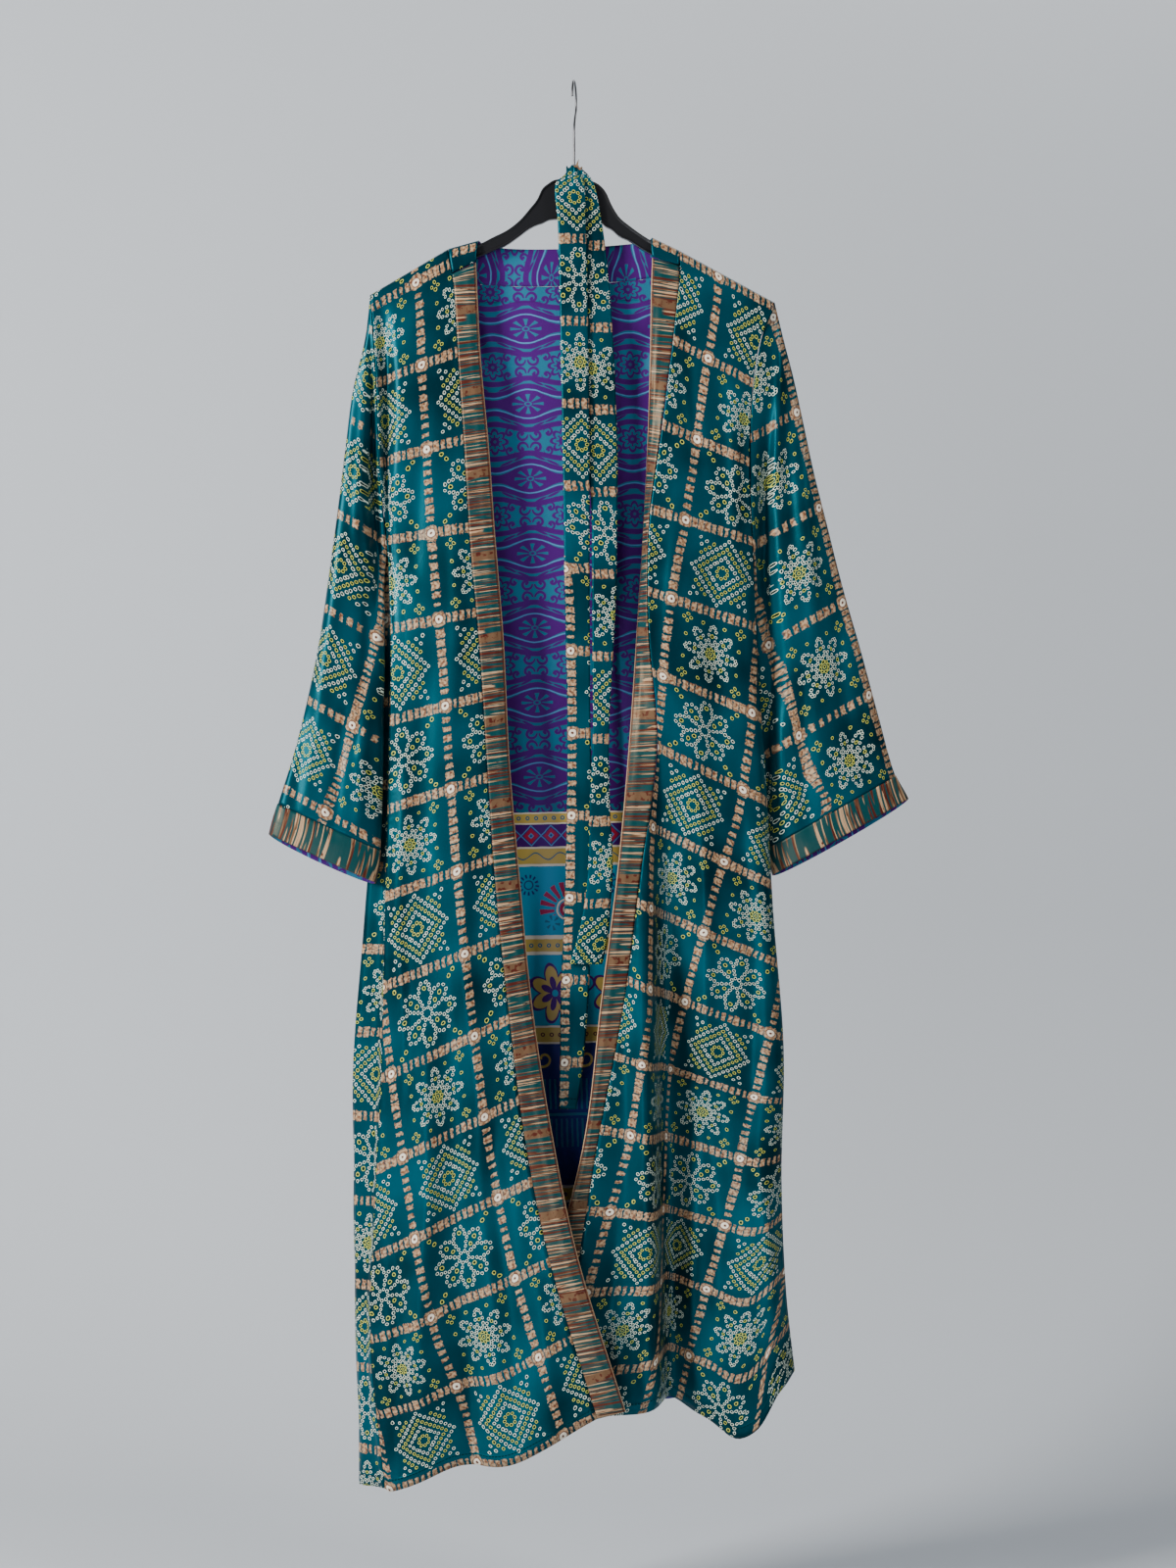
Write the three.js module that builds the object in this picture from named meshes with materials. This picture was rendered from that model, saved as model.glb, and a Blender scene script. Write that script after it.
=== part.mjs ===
// Silk kimono robe on a plain hanger, hung from the hook of the hanger.
// Millimetres, +Z up. The origin is the inside top of the hook, the front of the robe faces -Y,
// and +X is the wearer's left. Each cut piece of cloth is a thin wall through a grid of sections.
import * as THREE from 'three';

// ---- driving sizes ----
const CLOTH = 1.4; // outer silk, two thin layers
const LINING = 1.0; // the lining behind the opening
const BAND = 1.8; // front bands, cuffs and sash are doubled
const SEAM_GAP = 0.3; // between neighbouring walls
const PANEL_STEPS = 2; // mesh rows for each row of the body table
const SEAM_TRIM = 0.25; // each panel stops this far from a flat seam
const NECK_TRIM = 0.85; // the neck band bends over the shoulder, so its seam is wider
const BAND_TURN_TRIM = 1.4; // a band turned edge-on clears the front's thickness
const FULL_TURN = 0.6; // depth of a band against its width, where it counts as edge-on
const CORNER_TRIM = 0.95; // a panel stops this far from a seam that is folded

// ---- finishes ----
const finish = (color, roughness, metalness = 0) =>
  new THREE.MeshStandardMaterial({ color, roughness, metalness });
const printedSilk = finish(0x00656b, 0.45);
const goldBorder = finish(0xa87850, 0.4);
const liningSilk = finish(0x4a2a86, 0.45);
const blackPlastic = finish(0x141416, 0.35);
const steelWire = finish(0xb9bcc0, 0.25, 1);

// ---- sections of the body ----
// Each row is one level of the robe, as [x, y, z]. "right" and "left" are the wearer's.
// edge: where a front meets its band. side: where a front meets the back, or the sleeve above
// the underarm. armBack: depth of the back's armhole edge. turn, fold: where the back panel
// comes round to the side seam. wideR, wideL, middle: the back panel's own depth. roll, crown:
// how far the left front stands out near its side, and each front between its ends.
// rightSag, leftSag: how far a front's row hangs below the straight line between its ends.
const BODY = [
  {
    rightEdge: [-125, -9, -212], rightSide: [-209, -7, -254], leftEdge: [108, -9, -217],
    leftSide: [194, -7, -267], armBack: 7, turn: [-208, 7.4], fold: [-205, 8],
    wideR: [-160, 10], middle: [0, 10, -237], wideL: [163, 9], roll: 0, crown: 1,
  },
  {
    rightEdge: [-120, -12, -293], rightSide: [-205, -8, -323], leftEdge: [100, -11, -291],
    leftSide: [184, -8, -334], armBack: 8, turn: [-203, 9], fold: [-199, 10],
    wideR: [-160, 13], middle: [0, 13, -315], wideL: [153, 12], roll: 0, crown: 2,
  },
  {
    rightEdge: [-114, -14, -380], rightSide: [-202, -8, -403], leftEdge: [89, -13, -375],
    leftSide: [182, -8, -413], armBack: 7, turn: [-199, 9], fold: [-195, 12],
    wideR: [-160, 15], middle: [0, 16, -397], wideL: [148, 14], roll: 0, crown: 3,
  },
  {
    rightEdge: [-108, -17, -477], rightSide: [-194, -3, -488], leftEdge: [78, -16, -456],
    leftSide: [186, -3, -488], armBack: 1, turn: [-192, 5], fold: [-190, 9],
    wideR: [-160, 16], middle: [0, 18, -480], wideL: [148, 15], roll: 2, crown: 4,
  },
  {
    rightEdge: [-98, -21, -588], rightSide: [-190, -12, -608], leftEdge: [77, -19, -568],
    leftSide: [190, -3, -593], turn: [-189, 1], fold: [-206, 9],
    wideR: [-165, 17], middle: [0, 20, -592], wideL: [153, 15], roll: 8, crown: 5,
  },
  {
    rightEdge: [-90, -26, -710], rightSide: [-193, -15, -742], leftEdge: [86, -20, -690],
    leftSide: [199, -3, -720], turn: [-191, 0], fold: [-210, 9],
    wideR: [-173, 19], middle: [0, 23, -720], wideL: [160, 17], roll: 10, crown: 5,
  },
  {
    rightEdge: [-81, -31, -836], rightSide: [-196, -19, -879], leftEdge: [69, -21, -821],
    leftSide: [207, -2, -863], turn: [-197, -6], fold: [-219, 3],
    wideR: [-181, 22], middle: [0, 27, -859], wideL: [168, 20], roll: 11, crown: 6,
  },
  {
    rightEdge: [-67, -37, -967], rightSide: [-199, -23, -1029], leftEdge: [52, -22, -953],
    leftSide: [218, 0, -1006], turn: [-204, -12], fold: [-230, -3],
    wideR: [-186, 26], middle: [0, 31, -998], wideL: [181, 24], roll: 12, crown: 6,
  },
  {
    rightEdge: [-50, -43, -1097], rightSide: [-206, -24, -1176], leftEdge: [24, -23, -1100],
    leftSide: [216, 2, -1144], turn: [-210, -14], fold: [-229, -5],
    wideR: [-187, 30], middle: [0, 35, -1138], wideL: [181, 28], roll: 14, crown: 6,
    leftSag: [3, 10, 12, 6],
  },
  {
    rightEdge: [-24, -47, -1222], rightSide: [-210, -25, -1305], leftEdge: [2, -24, -1236],
    leftSide: [221, 4, -1261], turn: [-214, -16], fold: [-227, -6],
    wideR: [-184, 33], middle: [0, 38, -1267], wideL: [185, 31], roll: 16, crown: 6,
    leftSag: [6, 22, 28, 15],
  },
  {
    rightEdge: [24, -50, -1380], rightSide: [-195, -27, -1457], leftEdge: [-24, -24, -1388],
    leftSide: [230, 8, -1342], turn: [-203, -18], fold: [-223, -6],
    wideR: [-180, 34], middle: [0, 40, -1407], wideL: [192, 33], roll: 18, crown: 6,
    rightSag: [14, -3], leftSag: [11, 36, 50, 22],
  },
];

// ---- shoulders and neck ----
const SHOULDER = {
  right: { neck: [-131, -174], tip: [-211, -221] },
  left: { neck: [110, -176], tip: [207, -229] },
};
// Cloth laid over the hanger's arm: how far out and how far down from the shoulder line.
const OVER_ARM = [
  { out: 0.25, down: 0 },
  { out: 4.2, down: 2 },
  { out: 6.5, down: 8 },
];
// The neck band from the right front, over the shoulders and round the back neck.
const NECK_BAND = [
  { free: [-102, -9, -188], seam: [-127.2, -9, -200] },
  { free: [-101, -6.8, -174], seam: [-130.5, -6.5, -182] },
  { free: [-100, -4.4, -167.5], seam: [-131, -4.2, -176] },
  { free: [-99, 0, -165], seam: [-131, 0, -174] },
  { free: [-97, 4.5, -166.5], seam: [-128, 4.5, -176] },
  { free: [-93, 7, -168.5], seam: [-124, 7, -184] },
  { free: [-85, 8.5, -169.5], seam: [-119, 9, -199] },
  { free: [-75, 9.5, -171], seam: [-98, 10, -209] },
  { free: [-52, 10.5, -172], seam: [-62, 11, -211] },
  { free: [-27, 10.5, -172], seam: [-27, 11, -211] },
  { free: [4, 10.5, -171], seam: [4, 11, -210] },
  { free: [30, 10.5, -169], seam: [35, 11, -207] },
  { free: [55, 9.5, -167], seam: [71, 10, -204] },
  { free: [66, 8.5, -166], seam: [97, 9, -197] },
  { free: [74, 7, -165], seam: [103, 7, -186] },
  { free: [78, 4.5, -163.8], seam: [107, 4.5, -178] },
  { free: [81, 0, -162], seam: [110, 0, -176] },
  { free: [80.5, -4.4, -165], seam: [110, -4.2, -178] },
  { free: [80, -6.8, -171], seam: [110, -6.5, -184] },
  { free: [81, -9, -183], seam: [109, -9, -191.5] },
];
const NECK_BACK = { first: 4, last: 15 }; // the rows that meet the back panel
const NECK_DEPTH = 9.5; // the back panel settles to this depth below the neck seam

// Free edges of the front bands, one for each body row, after the end of the neck band.
const BAND_TOP = {
  right: { free: [-102, -9, -189.5], seam: [-127, -9, -201.5] },
  left: { free: [81, -9, -184.5], seam: [109, -9, -193] },
};
const BAND_FREE = {
  right: [
    [-101, -9, -209], [-97, -11, -288], [-89, -13, -375], [-82, -15, -472], [-73, -18, -583],
    [-67, -22, -705], [-56, -27, -831], [-43, -33, -960], [-22, -41, -1092], [4, -47, -1215],
    [53, -52, -1372],
  ],
  left: [
    [80, -8, -211], [79, -5, -287], [77, 0, -370], [73, 2, -455], [66, 0, -567],
    [57, -12, -690], [45, -20, -819], [28, -22, -953], [10, -23, -1100], [-24, -24, -1236],
    [-57, -24, -1388],
  ],
};

// Largest folds: a soft trough from top to bottom, deepest at the hem.
const FOLDS = {
  frontLeft: [
    { top: [93, -650], bottom: [108, -1370], width: 15, depth: 30 },
    { top: [150, -820], bottom: [168, -1370], width: 30, depth: 5 },
  ],
  frontRight: [{ top: [-125, -900], bottom: [-108, -1450], width: 22, depth: 7 }],
  back: [
    { top: [-90, -430], bottom: [-100, -1450], width: 26, depth: -9 },
    { top: [-20, -330], bottom: [-10, -1430], width: 30, depth: -6 },
    { top: [70, -520], bottom: [95, -1400], width: 24, depth: -10 },
  ],
};
const HEM = -1400; // folds grow from their top towards here
const FOLD_GROWN = 0.75; // the share of that run where a fold reaches its full depth
const LINING_TOP_ROW = 5; // the lining starts this many mesh rows below the neck seam
const LINING_INSET = { right: 3, left: 2 }; // mesh columns of the back left bare at each side
const COLUMNS = { frontRight: 11, frontLeft: 17 }; // mesh columns of the fronts
// Where a front stands out between its ends, as shares of its width, and where it rolls back.
const CROWNS = [0.35, 0.7];
const ROLLS = [
  { share: 0.85, crown: 1, roll: 0.3 },
  { share: 0.94, crown: 0.2, roll: 0.6 },
];

// ---- sleeves: rings from the armhole to the cuff seam, then the cuff's own edge ----
// outer: along the top of the sleeve. inner: along the underarm. middle: depth of the ring's
// centre. half: half the ring's thickness.
const SLEEVES = {
  right: [
    { outer: [-212, -221], inner: [-195, -487], middle: 0, half: 7.5 },
    { outer: [-217, -266], inner: [-202, -506], middle: -1, half: 8 },
    { outer: [-230, -323], inner: [-204, -527], middle: -3, half: 9 },
    { outer: [-237, -379], inner: [-204, -549], middle: -6, half: 10 },
    { outer: [-245, -446], inner: [-202, -578], middle: -9, half: 11 },
    { outer: [-253, -507], inner: [-201, -613], middle: -12, half: 12 },
    { outer: [-263, -578], inner: [-200, -654], middle: -14, half: 12 },
    { outer: [-276, -644], inner: [-199, -700], middle: -16, half: 13 },
    { outer: [-290, -700], inner: [-199, -751], middle: -17, half: 13 },
    { outer: [-306, -751], inner: [-201, -799], middle: -18, half: 14 },
    { outer: [-315, -782], inner: [-206, -832], middle: -18, half: 14 },
  ],
  left: [
    { outer: [208, -229], inner: [187, -488], middle: 0, half: 7.5 },
    { outer: [218, -269], inner: [189, -511], middle: 1, half: 8 },
    { outer: [228, -307], inner: [190, -531], middle: 3, half: 9 },
    { outer: [237, -347], inner: [191, -557], middle: 5, half: 10 },
    { outer: [249, -403], inner: [193, -587], middle: 6, half: 11 },
    { outer: [263, -459], inner: [196, -623], middle: 7, half: 12 },
    { outer: [280, -526], inner: [199, -664], middle: 8, half: 12 },
    { outer: [299, -592], inner: [202, -710], middle: 8, half: 13 },
    { outer: [317, -659], inner: [205, -756], middle: 8, half: 13 },
    { outer: [335, -722], inner: [208, -798], middle: 8, half: 14 },
    { outer: [348, -746], inner: [214, -825], middle: 8, half: 14 },
  ],
};
const ARMHOLE_GAP = 1.0; // the sleeve's first ring stays this far outside the body
const SLEEVE_SIDES = 20; // points round a sleeve
const SLEEVE_FULLNESS = 0.8; // below 1 the sleeve's section is fuller than an ellipse

// ---- sash: both ends, from the fold at the hook down ----
const SASH = {
  right: [
    { z: -88, from: -2.5, to: -0.3, y: -6.5 },
    { z: -98, from: -10, to: 6, y: -8 },
    { z: -107, from: -19, to: 10, y: -10.5 },
    { z: -150, from: -17, to: 12, y: -11 },
    { z: -234, from: -15, to: 14, y: -11 },
    { z: -391, from: -12, to: 16, y: -10 },
    { z: -517, from: -10, to: 16, y: -8 },
    { z: -679, from: -7, to: 17, y: -6.5 },
    { z: -767, from: -8, to: 20, y: -6.5 },
    { z: -852, from: -10, to: 18, y: -6.5 },
    { z: -947, from: -14, to: 15, y: -6.5 },
    { z: -1023, from: -15, to: 9, y: -6 },
    { z: -1068, from: -16, to: 2, y: -6 },
  ],
  left: [
    { z: -88, from: 0.3, to: 2.5, y: -4 },
    { z: -97, from: 2, to: 14, y: -5.5 },
    { z: -106, from: 2, to: 20, y: -6.3 },
    { z: -149, from: 2, to: 29, y: -6.3 },
    { z: -234, from: 3, to: 38, y: -6.3 },
    { z: -390, from: 14, to: 45, y: -6 },
    { z: -450, from: 18, to: 44.5, y: -7 },
    { z: -517, from: 18.5, to: 44, y: -8 },
    { z: -601, from: 19, to: 40, y: -9 },
    { z: -679, from: 19.5, to: 36, y: -10.5 },
    { z: -753, from: 16, to: 37, y: -11 },
    { z: -810, from: 15, to: 40, y: -11 },
    { z: -852, from: 11, to: 38, y: -11 },
    { z: -895, from: 2, to: 34, y: -11 },
    { z: -917, from: -5, to: 29, y: -11 },
  ],
};
// The sash passes behind the hook's stem in a short saddle.
const SADDLE = { half: 7.5, right: -6.15, left: -3.45, back: 5, top: -88.5, bottom: -100.95, steps: 12 };

// ---- hanger ----
const ARM_THICK = 6;
const ARM_BEVEL = 1.2;
// out: distance from the hook. right, left: height of the top edge. deep: depth of the bar.
const HANGER = [
  { out: 0, right: -101, left: -101, deep: 42 },
  { out: 20, right: -102, left: -104, deep: 41 },
  { out: 27, right: -106, left: -108, deep: 38 },
  { out: 33, right: -111, left: -115, deep: 36 },
  { out: 39, right: -123, left: -128, deep: 26 },
  { out: 47, right: -133, left: -141, deep: 20 },
  { out: 57, right: -144.5, left: -149.5, deep: 16 },
  { out: 70, right: -154.5, left: -159, deep: 15 },
  { out: 84, right: -161.5, left: -167.5, deep: 14 },
  { out: 99, right: -169, left: -175, deep: 13 },
  { out: 131, right: -179, left: -191, deep: 12 },
  { out: 165, right: -199, left: -209.5, deep: 11 },
  { out: 203, right: -221.5, left: -231, deep: 9 },
];
const WIRE = 1.1; // radius of the hook's wire
// lean: how far the hook stands out sideways for its depth. open: degrees it runs past level.
const HOOK = {
  radius: 19, lean: 0.1, kink: -46, bend: [7, 10], from: -25, open: 12, turn: 13, stemEnd: -100.6,
  steps: 44, sides: 4,
};

// ---- small helpers ----
const point = ([x, y, z]) => new THREE.Vector3(x, y, z);
const mix = THREE.MathUtils.lerp;
const smooth = (points) => new THREE.CatmullRomCurve3(points, false, 'centripetal');

// Points at the given shares of a section's length, with its ends trimmed.
function spread(stations, shares, trimStart, trimEnd) {
  const curve = smooth(stations);
  const length = curve.getLength();
  const start = trimStart / length;
  const end = 1 - trimEnd / length;
  return shares.map((share) => curve.getPointAt(mix(start, end, share)));
}

const evenShares = (count) => Array.from({ length: count + 1 }, (_, i) => i / count);

// More rows between the sections, on a smooth curve down each column.
function refine(rows, steps) {
  const count = (rows.length - 1) * steps;
  const columns = rows[0].map((_, c) => smooth(rows.map((row) => row[c])).getPoints(count));
  return Array.from({ length: count + 1 }, (_, r) => columns.map((column) => column[r]));
}

// Normals of a grid of points, with the columns joined into a ring where closed.
function gridNormals(grid, closed) {
  const rows = grid.length;
  const cols = grid[0].length;
  const across = (r, c) => {
    const before = closed ? (c + cols - 1) % cols : Math.max(c - 1, 0);
    const after = closed ? (c + 1) % cols : Math.min(c + 1, cols - 1);
    return grid[r][after].clone().sub(grid[r][before]);
  };
  const down = (r, c) => grid[Math.min(r + 1, rows - 1)][c].clone().sub(grid[Math.max(r - 1, 0)][c]);
  return grid.map((row, r) => row.map((_, c) => across(r, c).cross(down(r, c)).normalize()));
}

// The grid moved along its normals.
function moved(grid, distance, closed = false) {
  const normals = gridNormals(grid, closed);
  return grid.map((row, r) => row.map((p, c) => p.clone().addScaledVector(normals[r][c], distance)));
}

// A closed wall with its middle on the grid.
function wallGeometry(grid, thickness, closed = false) {
  const rows = grid.length;
  const cols = grid[0].length;
  const faces = [moved(grid, thickness / 2, closed), moved(grid, -thickness / 2, closed)];
  const positions = faces.flat(2).flatMap((p) => [p.x, p.y, p.z]);
  const at = (face, r, c) => face * rows * cols + r * cols + (c % cols);
  const index = [];
  const quad = (a, b, c, d) => index.push(a, b, c, a, c, d);
  const lastCol = closed ? cols : cols - 1;
  for (let r = 0; r < rows - 1; r += 1) {
    for (let c = 0; c < lastCol; c += 1) {
      quad(at(0, r, c), at(0, r + 1, c), at(0, r + 1, c + 1), at(0, r, c + 1));
      quad(at(1, r, c), at(1, r, c + 1), at(1, r + 1, c + 1), at(1, r + 1, c));
    }
  }
  for (let c = 0; c < lastCol; c += 1) {
    quad(at(0, 0, c), at(0, 0, c + 1), at(1, 0, c + 1), at(1, 0, c));
    quad(at(1, rows - 1, c), at(1, rows - 1, c + 1), at(0, rows - 1, c + 1), at(0, rows - 1, c));
  }
  if (!closed) {
    for (let r = 0; r < rows - 1; r += 1) {
      quad(at(1, r, 0), at(1, r + 1, 0), at(0, r + 1, 0), at(0, r, 0));
      quad(at(0, r, cols - 1), at(0, r + 1, cols - 1), at(1, r + 1, cols - 1), at(1, r, cols - 1));
    }
  }
  const geometry = new THREE.BufferGeometry();
  geometry.setAttribute('position', new THREE.Float32BufferAttribute(positions, 3));
  geometry.setIndex(index);
  return facingOut(geometry);
}

// Turns the triangles round where the body they close would be inside out.
function facingOut(geometry) {
  const p = geometry.getAttribute('position');
  const index = geometry.getIndex();
  const corner = (i) => new THREE.Vector3().fromBufferAttribute(p, index.getX(i));
  let volume = 0;
  for (let i = 0; i < index.count; i += 3) {
    volume += corner(i).dot(corner(i + 1).cross(corner(i + 2)));
  }
  if (volume < 0) {
    for (let i = 0; i < index.count; i += 3) {
      const second = index.getX(i + 1);
      index.setX(i + 1, index.getX(i + 2));
      index.setX(i + 2, second);
    }
  }
  geometry.computeVertexNormals();
  return geometry;
}

// Soft troughs and ridges, pushed along Y and growing towards the hem.
function folded(grid, folds) {
  const push = (p, fold) => {
    const run = THREE.MathUtils.clamp((p.z - fold.top[1]) / (fold.bottom[1] - fold.top[1]), 0, 1.1);
    const middle = mix(fold.top[0], fold.bottom[0], run);
    const away = (p.x - middle) / fold.width;
    const grown = Math.min(1, (p.z - fold.top[1]) / (HEM - fold.top[1]));
    return fold.depth * Math.exp(-away * away) * THREE.MathUtils.smoothstep(grown, 0, FOLD_GROWN);
  };
  return grid.map((row) =>
    row.map((p) => {
      const y = folds.reduce((sum, fold) => sum + (p.z < fold.top[1] ? push(p, fold) : 0), p.y);
      return new THREE.Vector3(p.x, y, p.z);
    }));
}

// ---- the cut pieces ----
// A point between two others, pushed out towards the front and down.
function crowned(a, b, share, depth, sag = 0) {
  const p = point(a).lerp(point(b), share);
  p.y -= depth;
  p.z -= sag;
  return p;
}

function shoulderRows(line, side) {
  return OVER_ARM.map(({ out, down }) =>
    [line.neck, line.tip].map(([x, z]) => new THREE.Vector3(x, side * out, z - down)));
}

function frontPanel(which, columns, folds, rolled) {
  const line = SHOULDER[which];
  const shares = evenShares(columns);
  const top = shoulderRows(line, -1).map((ends) => spread(ends, shares, SEAM_TRIM, SEAM_TRIM));
  const body = BODY.map((row) => {
    const [edge, side] = [row[`${which}Edge`], row[`${which}Side`]];
    const sag = row[`${which}Sag`] ?? [0, 0, 0, 0];
    const stations = [point(edge)];
    CROWNS.forEach((share, i) => stations.push(crowned(edge, side, share, row.crown, sag[i])));
    if (rolled) {
      ROLLS.forEach(({ share, crown, roll }, i) => {
        const depth = crown * row.crown + roll * row.roll;
        stations.push(crowned(edge, side, share, depth, sag[CROWNS.length + i]));
      });
    }
    stations.push(point(side));
    const cornered = rolled && row.roll > 2;
    return spread(stations, shares, SEAM_TRIM, cornered ? CORNER_TRIM : 2 * SEAM_TRIM);
  });
  return folded(refine([...top, ...body], PANEL_STEPS), folds);
}

function backTopRow() {
  const right = SHOULDER.right;
  const left = SHOULDER.left;
  const along = (from, to, share) =>
    new THREE.Vector3(mix(from[0], to[0], share), OVER_ARM[0].out, mix(from[1], to[1], share));
  const seamLength = point([...right.neck, 0]).distanceTo(point([...right.tip, 0]));
  const inset = SEAM_TRIM / seamLength;
  const shares = [inset, 1 / 3, 2 / 3, 1 - inset];
  const neck = NECK_BAND.slice(NECK_BACK.first, NECK_BACK.last + 1).map(({ seam }) => point(seam));
  return {
    shoulders: shares.length,
    points: [
      ...shares.map((share) => along(right.tip, right.neck, share)),
      ...neck,
      ...shares.map((share) => along(left.neck, left.tip, share)),
    ],
  };
}

function backPanel() {
  const { shoulders, points } = backTopRow();
  const last = points.length - 1;
  const width = points[last].x - points[0].x;
  const shares = points.map((p) => (p.x - points[0].x) / width);
  const onShoulder = (i) => i < shoulders || i > last - shoulders;
  const below = (step, towards) => points.map((p, i) => {
    const { out, down } = OVER_ARM[step];
    return new THREE.Vector3(p.x, onShoulder(i) ? out : mix(p.y, NECK_DEPTH, towards), p.z - down);
  });
  const body = BODY.map((row) => {
    const open = row.armBack !== undefined;
    const heights = smooth([point(row.rightSide), point(row.middle), point(row.leftSide)]);
    const level = (x) => {
      const share = (x - row.rightSide[0]) / (row.leftSide[0] - row.rightSide[0]);
      return heights.getPoint(THREE.MathUtils.clamp(share, 0, 1)).z;
    };
    const station = ([x, y]) => new THREE.Vector3(x, y, level(x));
    const ends = [row.rightSide, row.leftSide].map(([x, y, z]) =>
      new THREE.Vector3(x, open ? row.armBack : y, z));
    const [leftX, leftY] = row.leftSide;
    const turnLeft = open ? [leftX - 4, row.armBack + 1] : [leftX - 1, leftY + 9];
    const stations = [ends[0], station(row.turn), station(row.fold), station(row.wideR),
      station(row.middle), station(row.wideL), station(turnLeft), ends[1]];
    const trim = open ? 2 * SEAM_TRIM : CORNER_TRIM;
    return spread(stations, shares, trim, trim);
  });
  return folded(refine([points, below(1, 0.25), below(2, 0.45), ...body], PANEL_STEPS), FOLDS.back);
}

function frontBand(side, edgeKey) {
  const across = [0, 0.5, 1];
  const rows = BODY.map((row, i) => [point(BAND_FREE[side][i]), point(row[edgeKey])]);
  const all = [[point(BAND_TOP[side].free), point(BAND_TOP[side].seam)], ...rows];
  const trim = ([free, seam]) => {
    const turned = Math.abs(free.y - seam.y) / free.distanceTo(seam);
    return mix(SEAM_TRIM, BAND_TURN_TRIM, THREE.MathUtils.smoothstep(turned, 0, FULL_TURN));
  };
  return refine(all.map((ends) => spread(ends, across, 0, trim(ends))), PANEL_STEPS);
}

function neckBand() {
  return NECK_BAND.map(({ free, seam }) =>
    spread([point(free), point(seam)], [0, 0.5, 1], 0, NECK_TRIM));
}

// A ring of the sleeve: down the front from its outer to its inner point, and up the back.
function sleeveRing({ outer, inner, middle, half }, armhole) {
  return Array.from({ length: SLEEVE_SIDES }, (_, i) => {
    const angle = (2 * Math.PI * i) / SLEEVE_SIDES;
    const share = (1 - Math.cos(angle)) / 2;
    const bow = Math.sin(angle);
    const spot = armhole
      ? armhole.getPointAt(share)
      : new THREE.Vector3(mix(outer[0], inner[0], share), 0, mix(outer[1], inner[1], share));
    spot.y = middle - half * Math.sign(bow) * Math.abs(bow) ** SLEEVE_FULLNESS;
    return spot;
  });
}

function sleeve(side) {
  const sideways = side === 'right' ? -ARMHOLE_GAP : ARMHOLE_GAP;
  const rings = SLEEVES[side];
  const armhole = smooth([
    new THREE.Vector3(rings[0].outer[0], 0, rings[0].outer[1]),
    ...BODY.slice(0, 3).map((row) =>
      point(row[`${side}Side`]).add(new THREE.Vector3(sideways, 0, 0))),
    new THREE.Vector3(rings[0].inner[0], 0, rings[0].inner[1]),
  ]);
  return rings.map((ring, i) => sleeveRing(ring, i === 0 ? armhole : null));
}

// The last stretch of the sleeve is its cuff; both stop short of the seam between them.
function sleeveParts(side) {
  const rings = sleeve(side);
  const cuffSeam = rings.length - 2;
  const towards = (a, b, distance) =>
    a.map((p, i) => p.clone().add(b[i].clone().sub(p).setLength(distance)));
  const body = rings.slice(0, cuffSeam);
  body.push(towards(rings[cuffSeam], rings[cuffSeam - 1], SEAM_TRIM));
  const start = towards(rings[cuffSeam], rings[cuffSeam + 1], SEAM_TRIM);
  return { body, cuff: [start, rings[cuffSeam + 1]] };
}

function sashEnd(rows) {
  const sections = rows.map(({ z, from, to, y }) =>
    [from, (from + to) / 2, to].map((x) => new THREE.Vector3(x, y, z)));
  return refine(sections, PANEL_STEPS);
}

function sashSaddle() {
  const { half, right, left, back, top, bottom, steps } = SADDLE;
  const plan = smooth([[-half, right], [-half, 1], [0, back], [half, 1], [half, left]]
    .map(([x, y]) => new THREE.Vector3(x, y, 0)));
  return [top, bottom].map((z) =>
    plan.getSpacedPoints(steps).map((p) => new THREE.Vector3(p.x, p.y, z)));
}

function hangerBar() {
  const outline = [];
  HANGER.slice().reverse().forEach((row) => outline.push([-row.out, row.right]));
  HANGER.slice(1).forEach((row) => outline.push([row.out, row.left]));
  HANGER.slice(1).reverse().forEach((row) => outline.push([row.out, row.left - row.deep]));
  HANGER.forEach((row) => outline.push([-row.out, row.right - row.deep]));
  const shape = new THREE.Shape(outline.map(([x, z]) => new THREE.Vector2(x, z)));
  const geometry = new THREE.ExtrudeGeometry(shape, {
    depth: ARM_THICK - 2 * ARM_BEVEL, bevelThickness: ARM_BEVEL, bevelSize: ARM_BEVEL,
    bevelOffset: -ARM_BEVEL, bevelSegments: 1,
  });
  geometry.rotateX(Math.PI / 2);
  geometry.translate(0, ARM_THICK / 2 - ARM_BEVEL, 0);
  return geometry;
}

// A bent wire, standing nearly edge-on to the front.
function hookWire() {
  const { radius, lean, kink, bend, from, open, turn, stemEnd, steps, sides } = HOOK;
  const centre = WIRE - radius;
  const flat = [[0, stemEnd], [0, mix(stemEnd, kink, 0.5)], [0, kink], [bend[0], kink + bend[1]]];
  for (let degrees = from; degrees <= 180 + open; degrees += turn) {
    const angle = THREE.MathUtils.degToRad(degrees);
    flat.push([radius * Math.cos(angle), centre + radius * Math.sin(angle)]);
  }
  const path = smooth(flat.map(([y, z]) => new THREE.Vector3(lean * y, y, z)));
  const section = new THREE.Shape();
  section.absarc(0, 0, WIRE, 0, 2 * Math.PI);
  return new THREE.ExtrudeGeometry(section, {
    steps, curveSegments: sides, bevelEnabled: false, extrudePath: path,
  });
}

// ---- the robe on its hanger ----
const robe = new THREE.Group();

function add(name, geometry, material) {
  const mesh = new THREE.Mesh(geometry, material);
  mesh.name = name;
  robe.add(mesh);
}

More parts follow.
